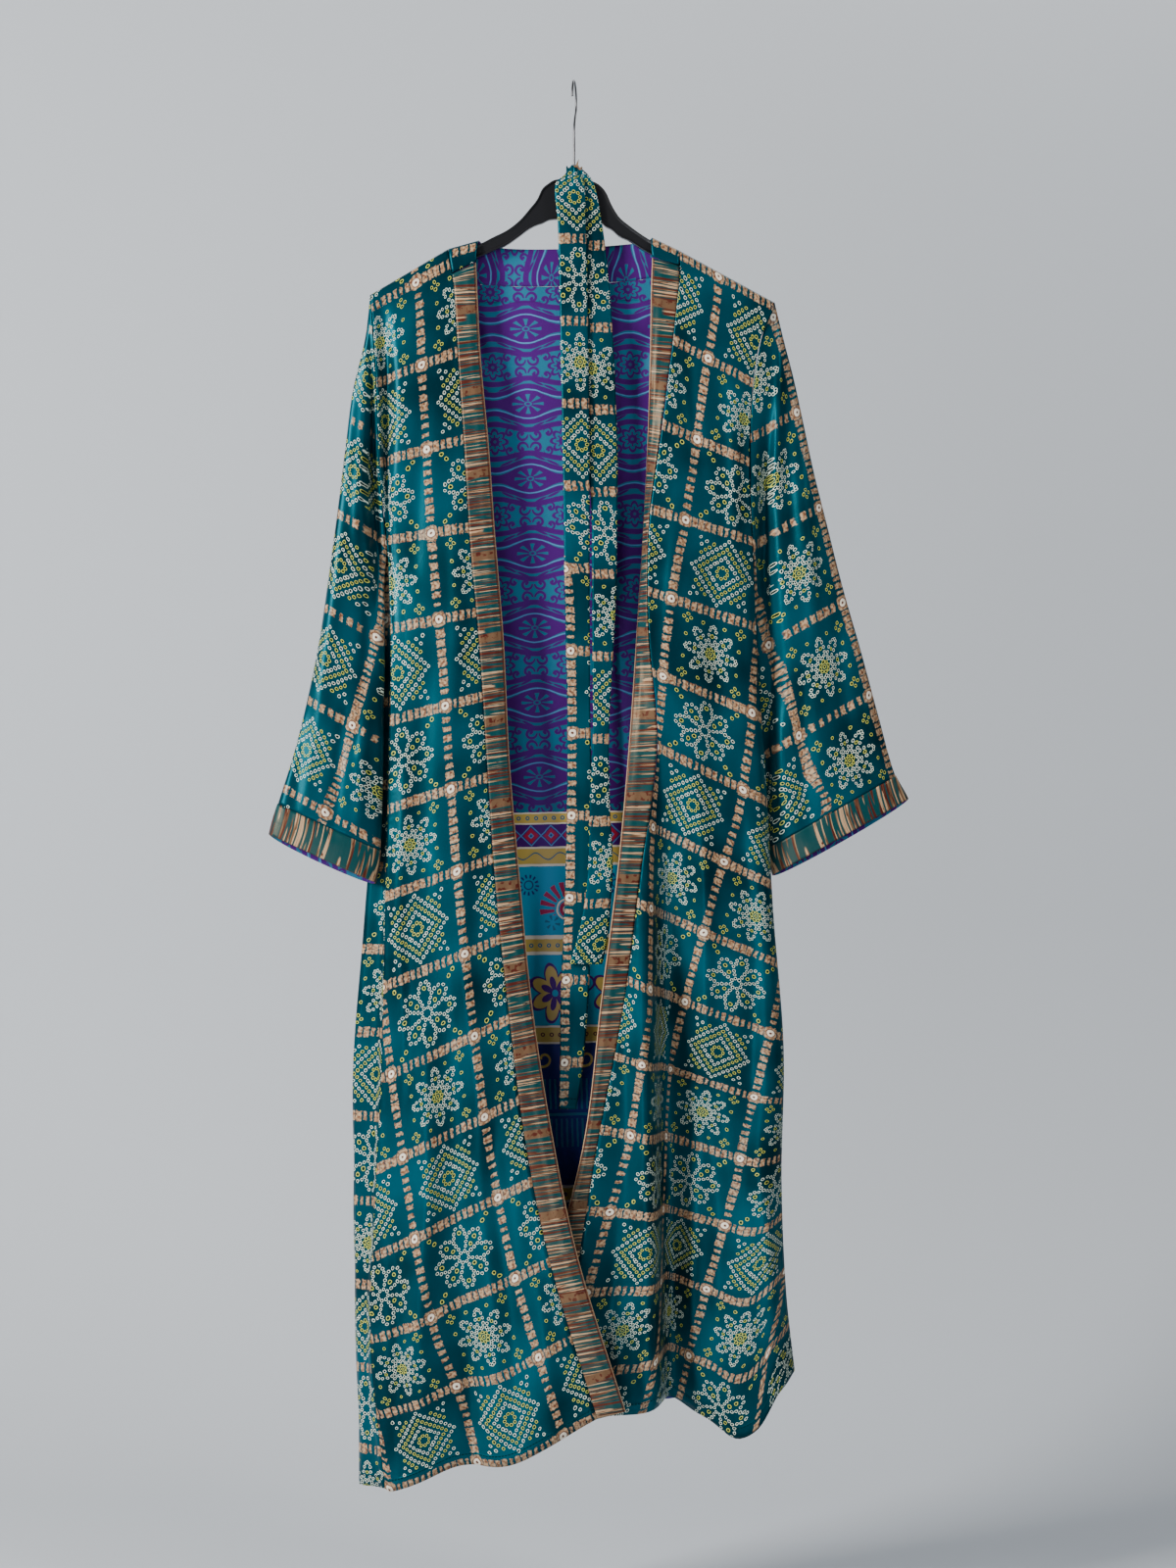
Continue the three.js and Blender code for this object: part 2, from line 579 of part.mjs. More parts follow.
const back = backPanel();
const liningOffset = (CLOTH + LINING) / 2 + SEAM_GAP;
const liningRows = back.slice(LINING_TOP_ROW, -1);
const liningGrid = liningRows.map((row) => row.slice(LINING_INSET.right, -LINING_INSET.left));
const frontRight = frontPanel('right', COLUMNS.frontRight, FOLDS.frontRight, false);
const frontLeft = frontPanel('left', COLUMNS.frontLeft, FOLDS.frontLeft, true);

add('back', wallGeometry(back, CLOTH), printedSilk);
add('lining_back', wallGeometry(moved(liningGrid, -liningOffset), LINING), liningSilk);
add('front_right', wallGeometry(frontRight, CLOTH), printedSilk);
add('front_left', wallGeometry(frontLeft, CLOTH), printedSilk);
add('neck_band', wallGeometry(neckBand(), CLOTH), printedSilk);
add('band_right', wallGeometry(frontBand('right', 'rightEdge'), BAND), goldBorder);
add('band_left', wallGeometry(frontBand('left', 'leftEdge'), BAND), goldBorder);
for (const side of ['right', 'left']) {
  const parts = sleeveParts(side);
  add(`sleeve_${side}`, wallGeometry(parts.body, CLOTH, true), printedSilk);
  add(`cuff_${side}`, wallGeometry(parts.cuff, BAND, true), goldBorder);
  add(`sash_${side}`, wallGeometry(sashEnd(SASH[side]), BAND), printedSilk);
}
add('sash_saddle', wallGeometry(sashSaddle(), BAND), printedSilk);
add('hanger_bar', hangerBar(), blackPlastic);
add('hanger_hook', hookWire(), steelWire);

export default robe;
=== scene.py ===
"""A long printed silk robe on a plain hanger, with its sash laid over the hook."""

import math

import bmesh
import bpy
import numpy as np
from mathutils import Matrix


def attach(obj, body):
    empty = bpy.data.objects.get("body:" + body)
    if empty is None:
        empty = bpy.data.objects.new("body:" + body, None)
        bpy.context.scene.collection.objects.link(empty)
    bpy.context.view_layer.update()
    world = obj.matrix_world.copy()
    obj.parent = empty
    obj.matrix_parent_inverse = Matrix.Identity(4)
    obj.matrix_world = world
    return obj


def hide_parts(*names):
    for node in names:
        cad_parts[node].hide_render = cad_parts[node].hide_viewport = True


MM = 0.001

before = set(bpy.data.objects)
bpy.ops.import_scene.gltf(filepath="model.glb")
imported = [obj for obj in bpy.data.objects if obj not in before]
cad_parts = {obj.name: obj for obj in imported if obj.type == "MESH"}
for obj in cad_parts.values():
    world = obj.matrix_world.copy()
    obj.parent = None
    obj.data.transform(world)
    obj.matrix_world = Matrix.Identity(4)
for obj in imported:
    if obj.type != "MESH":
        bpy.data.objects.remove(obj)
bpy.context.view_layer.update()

# ---- camera: level, straight in front ----
CAMERA_PLACE = (0.0143, -3.0, -0.7303)
VIEW_HEIGHT = 1.632  # what the camera takes in at the hanger, top to bottom
SENSOR = 36.0

camera_data = bpy.data.cameras.new("camera")
camera_data.sensor_width = SENSOR
camera_data.lens = SENSOR * abs(CAMERA_PLACE[1]) / VIEW_HEIGHT
camera = bpy.data.objects.new("camera", camera_data)
camera.location = CAMERA_PLACE
camera.rotation_euler = (math.pi / 2, 0, 0)
bpy.context.collection.objects.link(camera)
bpy.context.scene.camera = camera

# ---- sizes in mm ----
CLOTH = 1.0  # outer silk and its lining together
BAND = 1.7  # bands, cuffs and sash are doubled
SEAM_TRIM = 0.1
NECK_TRIM = 0.5
BAND_TURN_TRIM = 1.0
FULL_TURN = 0.6
CORNER_TRIM = 0.55
CELL = (98.0, 85.5)  # one square of the print, across and along

# Each row is one level of the robe. "right" and "left" are the wearer's. edge: a front meets its
# band. side: a front meets the back or a sleeve. arm_back: depth of the back's armhole edge.
# turn, fold: the back comes round to the side seam. wide and middle: the back panel's depth.
# roll, crown: how far the left front stands out near its side, and each front between its ends.
BODY = [
    dict(right_edge=(-125, -9, -212), right_side=(-209, -7, -254), left_edge=(108, -9, -217),
         left_side=(194, -7, -267), arm_back=7, turn=(-208, 7.4), fold=(-205, 8),
         wide_right=(-160, 10), middle=(0, 10, -237), wide_left=(163, 9), roll=0, crown=1),
    dict(right_edge=(-120, -12, -293), right_side=(-205, -8, -323), left_edge=(100, -11, -291),
         left_side=(184, -8, -334), arm_back=8, turn=(-203, 9), fold=(-199, 10),
         wide_right=(-160, 13), middle=(0, 13, -315), wide_left=(153, 12), roll=0, crown=2),
    dict(right_edge=(-114, -14, -380), right_side=(-202, -8, -403), left_edge=(89, -13, -375),
         left_side=(182, -8, -413), arm_back=7, turn=(-199, 9), fold=(-195, 12),
         wide_right=(-160, 15), middle=(0, 16, -397), wide_left=(148, 14), roll=0, crown=3),
    dict(right_edge=(-108, -17, -477), right_side=(-194, -3, -488), left_edge=(78, -16, -456),
         left_side=(186, -3, -488), arm_back=1, turn=(-193, 5), fold=(-203, 9),
         wide_right=(-160, 16), middle=(0, 18, -480), wide_left=(148, 15), roll=2, crown=4),
    dict(right_edge=(-98, -21, -588), right_side=(-190, -12, -608), left_edge=(77, -19, -568),
         left_side=(190, -3, -593), turn=(-189, 1), fold=(-212, 9),
         wide_right=(-165, 17), middle=(0, 20, -592), wide_left=(153, 15), roll=8, crown=5),
    dict(right_edge=(-90, -26, -710), right_side=(-193, -15, -742), left_edge=(86, -20, -690),
         left_side=(199, -3, -720), turn=(-191, 0), fold=(-213, 9),
         wide_right=(-173, 19), middle=(0, 23, -720), wide_left=(160, 17), roll=10, crown=5),
    dict(right_edge=(-81, -31, -836), right_side=(-196, -19, -879), left_edge=(69, -21, -821),
         left_side=(207, -2, -863), turn=(-197, -6), fold=(-219, 3),
         wide_right=(-181, 22), middle=(0, 27, -859), wide_left=(168, 20), roll=11, crown=6),
    dict(right_edge=(-67, -37, -967), right_side=(-199, -23, -1029), left_edge=(52, -22, -953),
         left_side=(218, 0, -1006), turn=(-204, -12), fold=(-230, -3),
         wide_right=(-186, 26), middle=(0, 31, -998), wide_left=(181, 24), roll=12, crown=6),
    dict(right_edge=(-50, -43, -1097), right_side=(-206, -24, -1176), left_edge=(24, -23, -1100),
         left_side=(216, 2, -1144), turn=(-210, -14), fold=(-229, -5),
         wide_right=(-187, 30), middle=(0, 35, -1138), wide_left=(181, 28), roll=14, crown=6,
         left_sag=(3, 10, 12, 6)),
    dict(right_edge=(-24, -47, -1222), right_side=(-210, -25, -1305), left_edge=(2, -24, -1236),
         left_side=(221, 4, -1261), turn=(-214, -16), fold=(-227, -6),
         wide_right=(-184, 33), middle=(0, 38, -1267), wide_left=(185, 31), roll=16, crown=6,
         left_sag=(6, 22, 28, 15)),
    dict(right_edge=(24, -50, -1380), right_side=(-195, -27, -1457), left_edge=(-24, -24, -1388),
         left_side=(230, 8, -1342), turn=(-203, -18), fold=(-223, -6),
         wide_right=(-180, 34), middle=(0, 40, -1407), wide_left=(192, 33), roll=18, crown=6,
         right_sag=(14, -3), left_sag=(11, 36, 50, 22)),
]
CROWNS = (0.35, 0.7)
ROLLS = ((0.85, 1, 0.3), (0.94, 0.2, 0.6))  # share of the width, of the crown, of the roll
SHOULDER = {
    "right": ((-131, -174), (-211, -221)),
    "left": ((110, -176), (207, -229)),
}
OVER_ARM = ((0.12, 0), (4.2, 2), (6.5, 8))  # out, down: cloth over the hanger's arm
# The neck band, as its free edge and its seam.
NECK_BAND = [
    ((-102, -9, -188), (-127.2, -9, -200)),
    ((-101, -6.8, -174), (-130.5, -6.5, -182)),
    ((-100, -4.4, -167.5), (-131, -4.2, -176)),
    ((-99, 0, -165), (-131, 0, -174)),
    ((-97, 4.5, -166.5), (-128, 4.5, -176)),
    ((-93, 7, -168.5), (-124, 7, -184)),
    ((-85, 8.5, -169.5), (-119, 9, -199)),
    ((-75, 9.5, -171), (-98, 10, -209)),
    ((-52, 10.5, -172), (-62, 11, -211)),
    ((-27, 10.5, -172), (-27, 11, -211)),
    ((4, 10.5, -171), (4, 11, -210)),
    ((30, 10.5, -169), (35, 11, -207)),
    ((55, 9.5, -167), (71, 10, -204)),
    ((66, 8.5, -166), (97, 9, -197)),
    ((74, 7, -165), (103, 7, -186)),
    ((78, 4.5, -163.8), (107, 4.5, -178)),
    ((81, 0, -162), (110, 0, -176)),
    ((80.5, -4.4, -165), (110, -4.2, -178)),
    ((80, -6.8, -171), (110, -6.5, -184)),
    ((81, -9, -183), (109, -9, -191.5)),
]
NECK_BACK = slice(4, 16)  # the rows that meet the back panel
NECK_DEPTH = 9.5
BAND_TOP = {
    "right": ((-102, -9, -189.5), (-127, -9, -201.5)),
    "left": ((81, -9, -184.5), (109, -9, -193)),
}
BAND_FREE = {
    "right": [
        (-101, -9, -209), (-97, -11, -288), (-89, -13, -375), (-82, -15, -472), (-73, -18, -583),
        (-67, -22, -705), (-56, -27, -831), (-43, -33, -960), (-22, -41, -1092), (4, -47, -1215),
        (53, -52, -1372),
    ],
    "left": [
        (80, -8, -211), (79, -5, -287), (77, 0, -370), (73, 2, -455), (66, 0, -567),
        (57, -12, -690), (45, -20, -819), (28, -22, -953), (10, -23, -1100), (-24, -24, -1236),
        (-57, -24, -1388),
    ],
}
# Outer and inner point of each ring of a sleeve, the ring's middle depth and half thickness.
SLEEVES = {
    "right": [
        ((-212, -221), (-195, -487), 0, 7.5), ((-217, -266), (-197, -506), -1, 8),
        ((-230, -323), (-198, -527), -3, 9), ((-237, -379), (-197, -549), -6, 10),
        ((-245, -446), (-197, -578), -9, 11), ((-253, -507), (-197, -613), -12, 12),
        ((-263, -578), (-198, -654), -14, 12), ((-276, -644), (-198, -700), -16, 13),
        ((-290, -700), (-199, -751), -17, 13), ((-306, -751), (-201, -799), -18, 14),
        ((-315, -782), (-206, -832), -18, 14),
    ],
    "left": [
        ((208, -229), (187, -488), 0, 7.5), ((218, -269), (187, -511), 2, 8),
        ((228, -307), (186, -531), 4, 9), ((237, -347), (185, -557), 6, 10),
        ((249, -403), (187, -587), 7, 11), ((263, -459), (189, -623), 8, 12),
        ((280, -526), (192, -664), 9, 12), ((299, -592), (195, -710), 10, 13),
        ((317, -659), (198, -756), 10, 13), ((335, -722), (202, -798), 10, 14),
        ((348, -746), (208, -825), 10, 14),
    ],
}
ARMHOLE_GAP = 0.8
SLEEVE_FULLNESS = 0.8
SLEEVE_TUCK = {"right": 0, "left": 6}  # how far a sleeve's inner edge lies behind its middle
CUFF_DIP = 7  # the back of a cuff hangs lower than its front
PLAIN_STRIPES = 200  # places on the border from here on have no broad blocks
CUFF_STRIPES = 0.55  # how close the stripes of a cuff lie, against those of a front band
# z, from, to, y of each level of the sash's two hanging ends.
SASH = {
    "right": [
        (-88, -2.5, -0.3, -6.5), (-98, -10, 6, -8), (-107, -19, 10, -10.5), (-150, -17, 12, -11),
        (-234, -15, 14, -11), (-391, -12, 16, -10), (-517, -10, 16, -8), (-679, -7, 17, -6.5),
        (-767, -8, 20, -6.5), (-852, -10, 18, -6.5), (-947, -14, 15, -6.5), (-1023, -15, 9, -6),
        (-1068, -16, 2, -6),
    ],
    "left": [
        (-88, 0.3, 2.5, -4), (-97, 2, 14, -5.5), (-106, 2, 20, -6.3), (-149, 2, 29, -6.3),
        (-234, 3, 38, -6.3), (-390, 14, 45, -6), (-450, 18, 44.5, -7), (-517, 18.5, 44, -8),
        (-601, 19, 40, -9), (-679, 19.5, 36, -10.5), (-753, 16, 37, -11), (-810, 15, 40, -11),
        (-852, 11, 38, -11), (-895, 2, 34, -11), (-917, -5, 29, -11),
    ],
}
GATHER = dict(top=-92, fades=22, pleats=2.5, depth=1.1)  # small pleats under the saddle
SASH_CROWN = 0.7
SADDLE = dict(half=7.5, right=-6.15, left=-3.45, back=5, top=-88.5, bottom=-100.95)
ARM_THICK = 6
# out from the hook, height of the right and the left arm's top edge, depth of the bar
HANGER = [
    (0, -101, -101, 42), (20, -102, -104, 41), (27, -106, -108, 38), (33, -111, -115, 36),
    (39, -123, -128, 26), (47, -133, -141, 20), (57, -144.5, -149.5, 16), (70, -154.5, -159, 15),
    (84, -161.5, -167.5, 14), (99, -169, -175, 13), (131, -179, -191, 12), (165, -199, -209.5, 11),
    (203, -221.5, -231, 9),
]
WIRE = 1.1
HOOK = dict(radius=19, lean=0.1, kink=-46, bend=(7, 10), first=-25, last=192, stem_end=-100.6)

# Large folds grow towards the hem: top and bottom as (x, z), width to each side and depth.
FOLDS = {
    "front_left": [((86, -640), (99, -1370), 8, 36, 40), ((68, -640), (80, -1370), 13, 10, -9),
                   ((150, -820), (168, -1370), 30, 30, 5)],
    "front_right": [((-125, -900), (-108, -1450), 22, 22, 7)],
    "back": [
        ((-90, -430), (-100, -1450), 26, 26, -9), ((-20, -330), (-10, -1430), 30, 30, -6),
        ((70, -520), (95, -1400), 24, 24, -10),
    ],
}
HEM = -1400
FOLD_GROWN = 0.6
FOLD_REACH = 12  # how far to each side of the deep fold its hidden cloth is taken up
HEM_SWAYS = {
    "front_left": [(98, 22, 13), (166, 20, -16), (208, 14, 8)],
    "front_right": [(-165, 42, -8), (-75, 30, -5)],
    "back": [(36, 60, 20), (-40, 40, 8)],
}
CREASE_DEPTH = 2.0
# Soft creases fade at both ends: from and to as (x, z), width and depth along Y.
CREASES = {
    "front_right": [
        ((-150, -300), (-168, -520), 9, 1.2), ((-199, -225), (-195, -580), 7, 5.4),
        ((-118, -420), (-128, -700), 8, -1.2), ((-150, -560), (-160, -900), 12, 2.2),
        ((-178, -700), (-182, -1100), 8, -2.4), ((-120, -760), (-98, -1120), 10, -2.2),
        ((-150, -980), (-162, -1420), 13, -3.6), ((-84, -1060), (-60, -1400), 12, 2.6),
        ((-185, -1180), (-176, -1450), 9, 2.4), ((-40, -1230), (-20, -1410), 9, -2.0),
        ((-110, -1290), (-96, -1440), 8, 3.4),
    ],
    "front_left": [
        ((118, -250), (132, -450), 9, 1.6), ((168, -300), (160, -520), 8, -1.8),
        ((105, -420), (98, -640), 8, -1.6), ((140, -480), (150, -760), 12, 2.0),
        ((126, -700), (142, -1050), 10, -2.6), ((178, -760), (190, -1120), 10, 2.6),
        ((75, -860), (62, -1180), 9, -2.0), ((140, -1000), (150, -1330), 12, 2.8),
        ((192, -1050), (204, -1330), 9, -2.6), ((40, -1150), (30, -1370), 11, 2.2),
        ((120, -1120), (128, -1400), 7, -3.0),
    ],
    "back": [
        ((-120, -240), (-60, -330), 13, 2.2), ((90, -240), (40, -340), 13, 2.0),
        ((-150, -420), (-158, -820), 14, 2.6), ((120, -380), (130, -760), 13, -2.8),
        ((30, -420), (36, -900), 15, 2.4), ((-60, -620), (-52, -1150), 14, -2.6),
        ((-150, -900), (-160, -1400), 15, -3.6), ((140, -860), (150, -1350), 14, 3.4),
        ((30, -1000), (44, -1390), 13, -3.0), ((-40, -1100), (-46, -1400), 12, 3.2),
    ],
    "sleeve_right": [
        ((-207, -215), (-206, -580), 6, 7.0), ((-218, -260), (-222, -520), 6, -1.6),
        ((-212, -500), (-222, -700), 7, 2.6),
        ((-246, -470), (-262, -690), 9, -2.0), ((-208, -600), (-226, -780), 7, -2.4),
        ((-270, -640), (-292, -770), 8, 2.2), ((-232, -640), (-250, -790), 7, 2.2),
    ],
    "sleeve_left": [
        ((209, -240), (211, -440), 5, -2.0), ((197, -330), (205, -820), 10, 9.5),
        ((226, -300), (222, -520), 7, 1.8),
        ((240, -380), (248, -600), 8, -2.2), ((206, -520), (214, -760), 7, -2.6),
        ((270, -520), (292, -720), 9, 2.2), ((234, -600), (248, -790), 8, 2.4),
        ((300, -640), (322, -750), 8, -2.0),
    ],
}

# Where the print lies on each piece: how far the first line along the piece is from its edge,
# the level of one crossing of lines, the stretch above and below it, and which way it runs.
PRINT = {
    "front_right": dict(edge=40, level=-646, above=1.045, below=1.0, sign=1, cells=2),
    "front_left": dict(edge=40, level=-628, above=1.02, below=0.945, sign=-1, cells=0),
    "back": dict(edge=30, level=-640, above=1.0, below=1.0, sign=1, cells=0),
}
# Cloth of the left front that is hidden beside its band, and in its deep fold, at each row.
HIDDEN = [(-5, 0), (0, 0), (1, 0), (2, 0), (20, 0), (40, 3), (27, 21), (8, 36), (7, 34),
          (24, 28), (43, 21)]
# How much the left front's lines of print drop across the panel, in mm for each mm, at each row.
DROP = [0, 0, 0, 0, 0.12, 0.22, 0.14, 0.03, -0.08, -0.19, -0.08]


# ---- curves and grids ----
def spline(points, at):
    """Smooth curve through the rows of points, each a list of places, at fractional row numbers."""
    points = np.asarray(points, dtype=float)
    at = np.asarray(at, dtype=float)
    first = np.clip(np.floor(at).astype(int), 0, len(points) - 2)
    share = (at - first)[:, None, None]
    before, after = 2 * points[:1] - points[1:2], 2 * points[-1:] - points[-2:-1]
    padded = np.concatenate([before, points, after])
    p0, p1, p2, p3 = (padded[first + k] for k in range(4))

    def step(a, b):
        return np.sqrt(np.maximum(np.linalg.norm(b - a, axis=2, keepdims=True), 1e-6))

    d0, d1, d2 = step(p0, p1), step(p1, p2), step(p2, p3)
    t1 = ((p1 - p0) / d0 - (p2 - p0) / (d0 + d1) + (p2 - p1) / d1) * d1
    t2 = ((p2 - p1) / d1 - (p3 - p1) / (d1 + d2) + (p3 - p2) / d2) * d1
    bend = 3 * (p2 - p1) - 2 * t1 - t2
    turn = 2 * (p1 - p2) + t1 + t2
    return p1 + t1 * share + bend * share**2 + turn * share**3


def mix(a, b, share):
    return a + (b - a) * share


def smoothstep(value, low, high):
    share = np.clip((value - low) / (high - low), 0, 1)
    return share * share * (3 - 2 * share)


def spread(stations, shares, trim_start=0.0, trim_end=0.0):
    """Places at shares of the length of the curve through the stations, with its ends trimmed."""
    stations = np.asarray(stations, dtype=float)
    fine = spline(stations[:, None, :], np.linspace(0, len(stations) - 1, 60 * len(stations)))[:, 0]
    run = np.concatenate([[0], np.linalg.norm(np.diff(fine, axis=0), axis=1).cumsum()])
    wanted = mix(trim_start, run[-1] - trim_end, np.asarray(shares))
    return np.stack([np.interp(wanted, run, fine[:, k]) for k in range(3)], axis=1)


def refined(rows, steps):
    """More rows between the sections: steps is one number, or one for each interval."""
    intervals = len(rows) - 1
    steps = [steps] * intervals if isinstance(steps, int) else steps
    at = [i + k / count for i, count in enumerate(steps) for k in range(count)]
    return spline(rows, at + [intervals])


def run_across(grid):
    """Length along each row, from its first point."""
    lengths = np.linalg.norm(np.diff(grid, axis=1), axis=2).cumsum(axis=1)
    return np.concatenate([np.zeros((len(grid), 1)), lengths], axis=1)


def run_down(grid):
    """Length down each column, from its first point."""
    return run_across(grid.transpose(1, 0, 2)).T


def grid_normals(grid, closed=False):
    if closed:
        across = np.roll(grid, -1, axis=1) - np.roll(grid, 1, axis=1)
        across[:, 0] = across[:, -1] = grid[:, 1] - grid[:, -2]
    else:
        across = np.gradient(grid, axis=1)
    normals = np.cross(across, np.gradient(grid, axis=0))
    return normals / np.maximum(np.linalg.norm(normals, axis=2, keepdims=True), 1e-9)


def folded(grid, folds):
    """Pushes large folds into a grid; they start at their top and are deepest at the hem."""
    x, z = grid[..., 0], grid[..., 2]
    push = np.zeros_like(x)
    for top, bottom, left, right, depth in folds:
        run = np.clip((z - top[1]) / (bottom[1] - top[1]), 0, 1.1)
        away = x - mix(top[0], bottom[0], run)
        away /= np.where(away < 0, left, right)
        grown = np.clip((z - top[1]) / (HEM - top[1]), 0, 1)
        push += depth * np.exp(-away**2) * smoothstep(grown, 0, FOLD_GROWN) * (z < top[1])
    out = grid.copy()
    out[..., 1] += push
    return out


def swayed(grid, sways):
    """Lifts or drops a hem: each sway is a place across, a width and a rise."""
    x, z = grid[..., 0], grid[..., 2]
    near_hem = smoothstep(-z, -HEM - 260, -HEM + 10)
    out = grid.copy()
    for place, width, rise in sways:
        out[..., 2] += rise * np.exp(-(((x - place) / width) ** 2)) * near_hem
    return out


def creased(grid, creases, strength=1.0):
    """Pushes soft creases into a grid; strength can be one number for each point."""
    x, z = grid[..., 0], grid[..., 2]
    push = np.zeros_like(x)
    for start, end, width, depth in creases:
        run = (z - start[1]) / (end[1] - start[1])
        middle = mix(start[0], end[0], run) + 3 * np.sin(z / 47 + start[0])
        grown = np.clip(4 * run * (1 - run), 0, 1) ** 0.8
        push += CREASE_DEPTH * depth * np.exp(-(((x - middle) / width) ** 2)) * grown
    out = grid.copy()
    out[..., 1] += push * strength
    return out


def rippled(grid, salt, depth=0.5):
    """A slight unevenness all over, as thin silk has."""
    x, z = grid[..., 0], grid[..., 2]
    waves = (
        np.sin(x / 17 + z / 90 + salt) + 0.7 * np.sin(x / 9.5 - z / 61 + 2.1 * salt)
        + 0.5 * np.sin(x / 31 + z / 37 + 0.7 * salt)
    )
    out = grid.copy()
    out[..., 1] += depth * waves
    return out


# ---- the robe's own cut ----
def shoulder_rows(which, shares, side):
    neck, tip = SHOULDER[which]
    rows = []
    for out, down in OVER_ARM:
        ends = [(x, side * out, z - down) for x, z in (neck, tip)]
        rows.append(spread(ends, shares, SEAM_TRIM, SEAM_TRIM))
    return rows


BODY_STEPS = [4, 4, 8] + [20] * (len(BODY) - 1)


def front_panel(which, columns):
    rolled = which == "left"
    shares = np.linspace(0, 1, columns + 1)
    rows = shoulder_rows(which, shares, -1)
    for row in BODY:
        edge, side = (np.array(row[f"{which}_{end}"], dtype=float) for end in ("edge", "side"))
        sag = row.get(f"{which}_sag", (0, 0, 0, 0))
        bulges = [(share, row["crown"], sag[i]) for i, share in enumerate(CROWNS)]
        if rolled:
            bulges += [
                (share, crown * row["crown"] + roll * row["roll"], sag[len(CROWNS) + i])
                for i, (share, crown, roll) in enumerate(ROLLS)
            ]
        stations = [edge]
        stations += [mix(edge, side, share) - (0, out, down) for share, out, down in bulges]
        stations.append(side)
        cornered = rolled and row["roll"] > 2
        rows.append(spread(stations, shares, SEAM_TRIM, CORNER_TRIM if cornered else SEAM_TRIM))
    return refined(rows, BODY_STEPS)


def back_panel(columns):
    inset = 0.002
    quarter = np.array([inset, 1 / 3, 2 / 3, 1 - inset])
    ends = {which: [np.array((x, OVER_ARM[0][0], z)) for x, z in SHOULDER[which]]
            for which in ("right", "left")}
    top = [mix(ends["right"][1], ends["right"][0], share) for share in quarter]
    top += [np.array(seam, dtype=float) for _, seam in NECK_BAND[NECK_BACK]]
    top += [mix(ends["left"][0], ends["left"][1], share) for share in quarter]
    top = np.array(top)
    on_shoulder = np.ones(len(top), dtype=bool)
    on_shoulder[len(quarter):-len(quarter)] = False
    coarse = (top[:, 0] - top[0, 0]) / (top[-1, 0] - top[0, 0])
    shares = np.linspace(0, 1, columns + 1)

    def fine(points):
        return np.stack([np.interp(shares, coarse, points[:, k]) for k in range(3)], axis=1)

    rows = [fine(top)]
    for (out, down), towards in zip(OVER_ARM[1:], (0.25, 0.45)):
        points = top.copy()
        points[:, 1] = np.where(on_shoulder, out, mix(top[:, 1], NECK_DEPTH, towards))
        points[:, 2] -= down
        rows.append(fine(points))
    for row in BODY:
        is_open = "arm_back" in row
        right, left = (np.array(row[f"{which}_side"], dtype=float) for which in ("right", "left"))
        level_line = spline(np.array([right, row["middle"], left])[:, None, :],
                            np.linspace(0, 2, 81))[:, 0, 2]

        def station(x, y):
            share = np.clip((x - right[0]) / (left[0] - right[0]), 0, 1)
            return (x, y, np.interp(share, np.linspace(0, 1, 81), level_line))

        if is_open:
            right[1] = left[1] = row["arm_back"]
            turn_left = (left[0] - 4, row["arm_back"] + 1)
        else:
            turn_left = (left[0] - 8, left[1] + 9)
        stations = [right, station(*row["turn"]), station(*row["fold"]),
                    station(*row["wide_right"]), station(*row["middle"][:2]),
                    station(*row["wide_left"]), station(*turn_left), left]
        trim = SEAM_TRIM if is_open else CORNER_TRIM
        rows.append(spread(stations, shares, trim, trim))
    return refined(rows, BODY_STEPS)


def front_band(which, columns=12):
    shares = np.linspace(0, 1, columns + 1)
    seams = [BAND_TOP[which][1]] + [row[f"{which}_edge"] for row in BODY]
    frees = [BAND_TOP[which][0]] + BAND_FREE[which]
    rows = []
    for free, seam in zip(np.array(frees, dtype=float), np.array(seams, dtype=float)):
        turned = abs(free[1] - seam[1]) / np.linalg.norm(free - seam)
        trim = mix(SEAM_TRIM, BAND_TURN_TRIM, smoothstep(turned, 0, FULL_TURN))
        rows.append(spread([free, seam], shares, 0, trim))
    return refined(rows, [4] + [20] * (len(BODY) - 1))


def neck_band(columns=10):
    shares = np.linspace(0, 1, columns + 1)
    return refined([spread(ends, shares, 0, NECK_TRIM) for ends in NECK_BAND], 5)


def sleeve_rings(which, sides=96):
    """Rings from the underarm, up the front of the sleeve, and down its back."""
    rings = SLEEVES[which]
    away = -ARMHOLE_GAP if which == "right" else ARMHOLE_GAP
    armhole = [(rings[0][0][0], 0, rings[0][0][1])]
    armhole += [np.array(row[f"{which}_side"]) + (away, 0, 0) for row in BODY[:3]]
    armhole.append((rings[0][1][0], 0, rings[0][1][1]))
    angles = np.linspace(math.pi, -math.pi, sides + 1)
    shares = (1 - np.cos(angles)) / 2
    bow = np.sign(np.sin(angles)) * np.abs(np.sin(angles)) ** SLEEVE_FULLNESS
    rows = []
    for i, (outer, inner, middle, half) in enumerate(rings):
        if i == 0:
            ring = spread(armhole, shares)
        else:
            ring = np.stack([mix(outer[0], inner[0], shares), 0 * shares,
                             mix(outer[1], inner[1], shares)], axis=1)
        tuck = SLEEVE_TUCK[which] if i > 2 else 0
        ring[:, 1] = middle - half * bow + tuck * shares**4
        rows.append(ring)
    return refined(rows, 14), bow


def sash_end(which, columns=12):
    shares = np.linspace(0, 1, columns + 1)
    rows = [[(mix(start, end, share), y, z) for share in shares]
            for z, start, end, y in SASH[which]]
    grid = refined(rows, [3, 4] + [12] * (len(rows) - 3))
    gather = np.exp((grid[..., 2] - GATHER["top"]) / GATHER["fades"])
    pleats = np.sin(2 * math.pi * GATHER["pleats"] * shares)
    grid[..., 1] += GATHER["depth"] * pleats[None, :] * np.clip(gather, 0, 1)
    grid[..., 1] -= SASH_CROWN * np.sin(math.pi * shares)[None, :]
    return grid


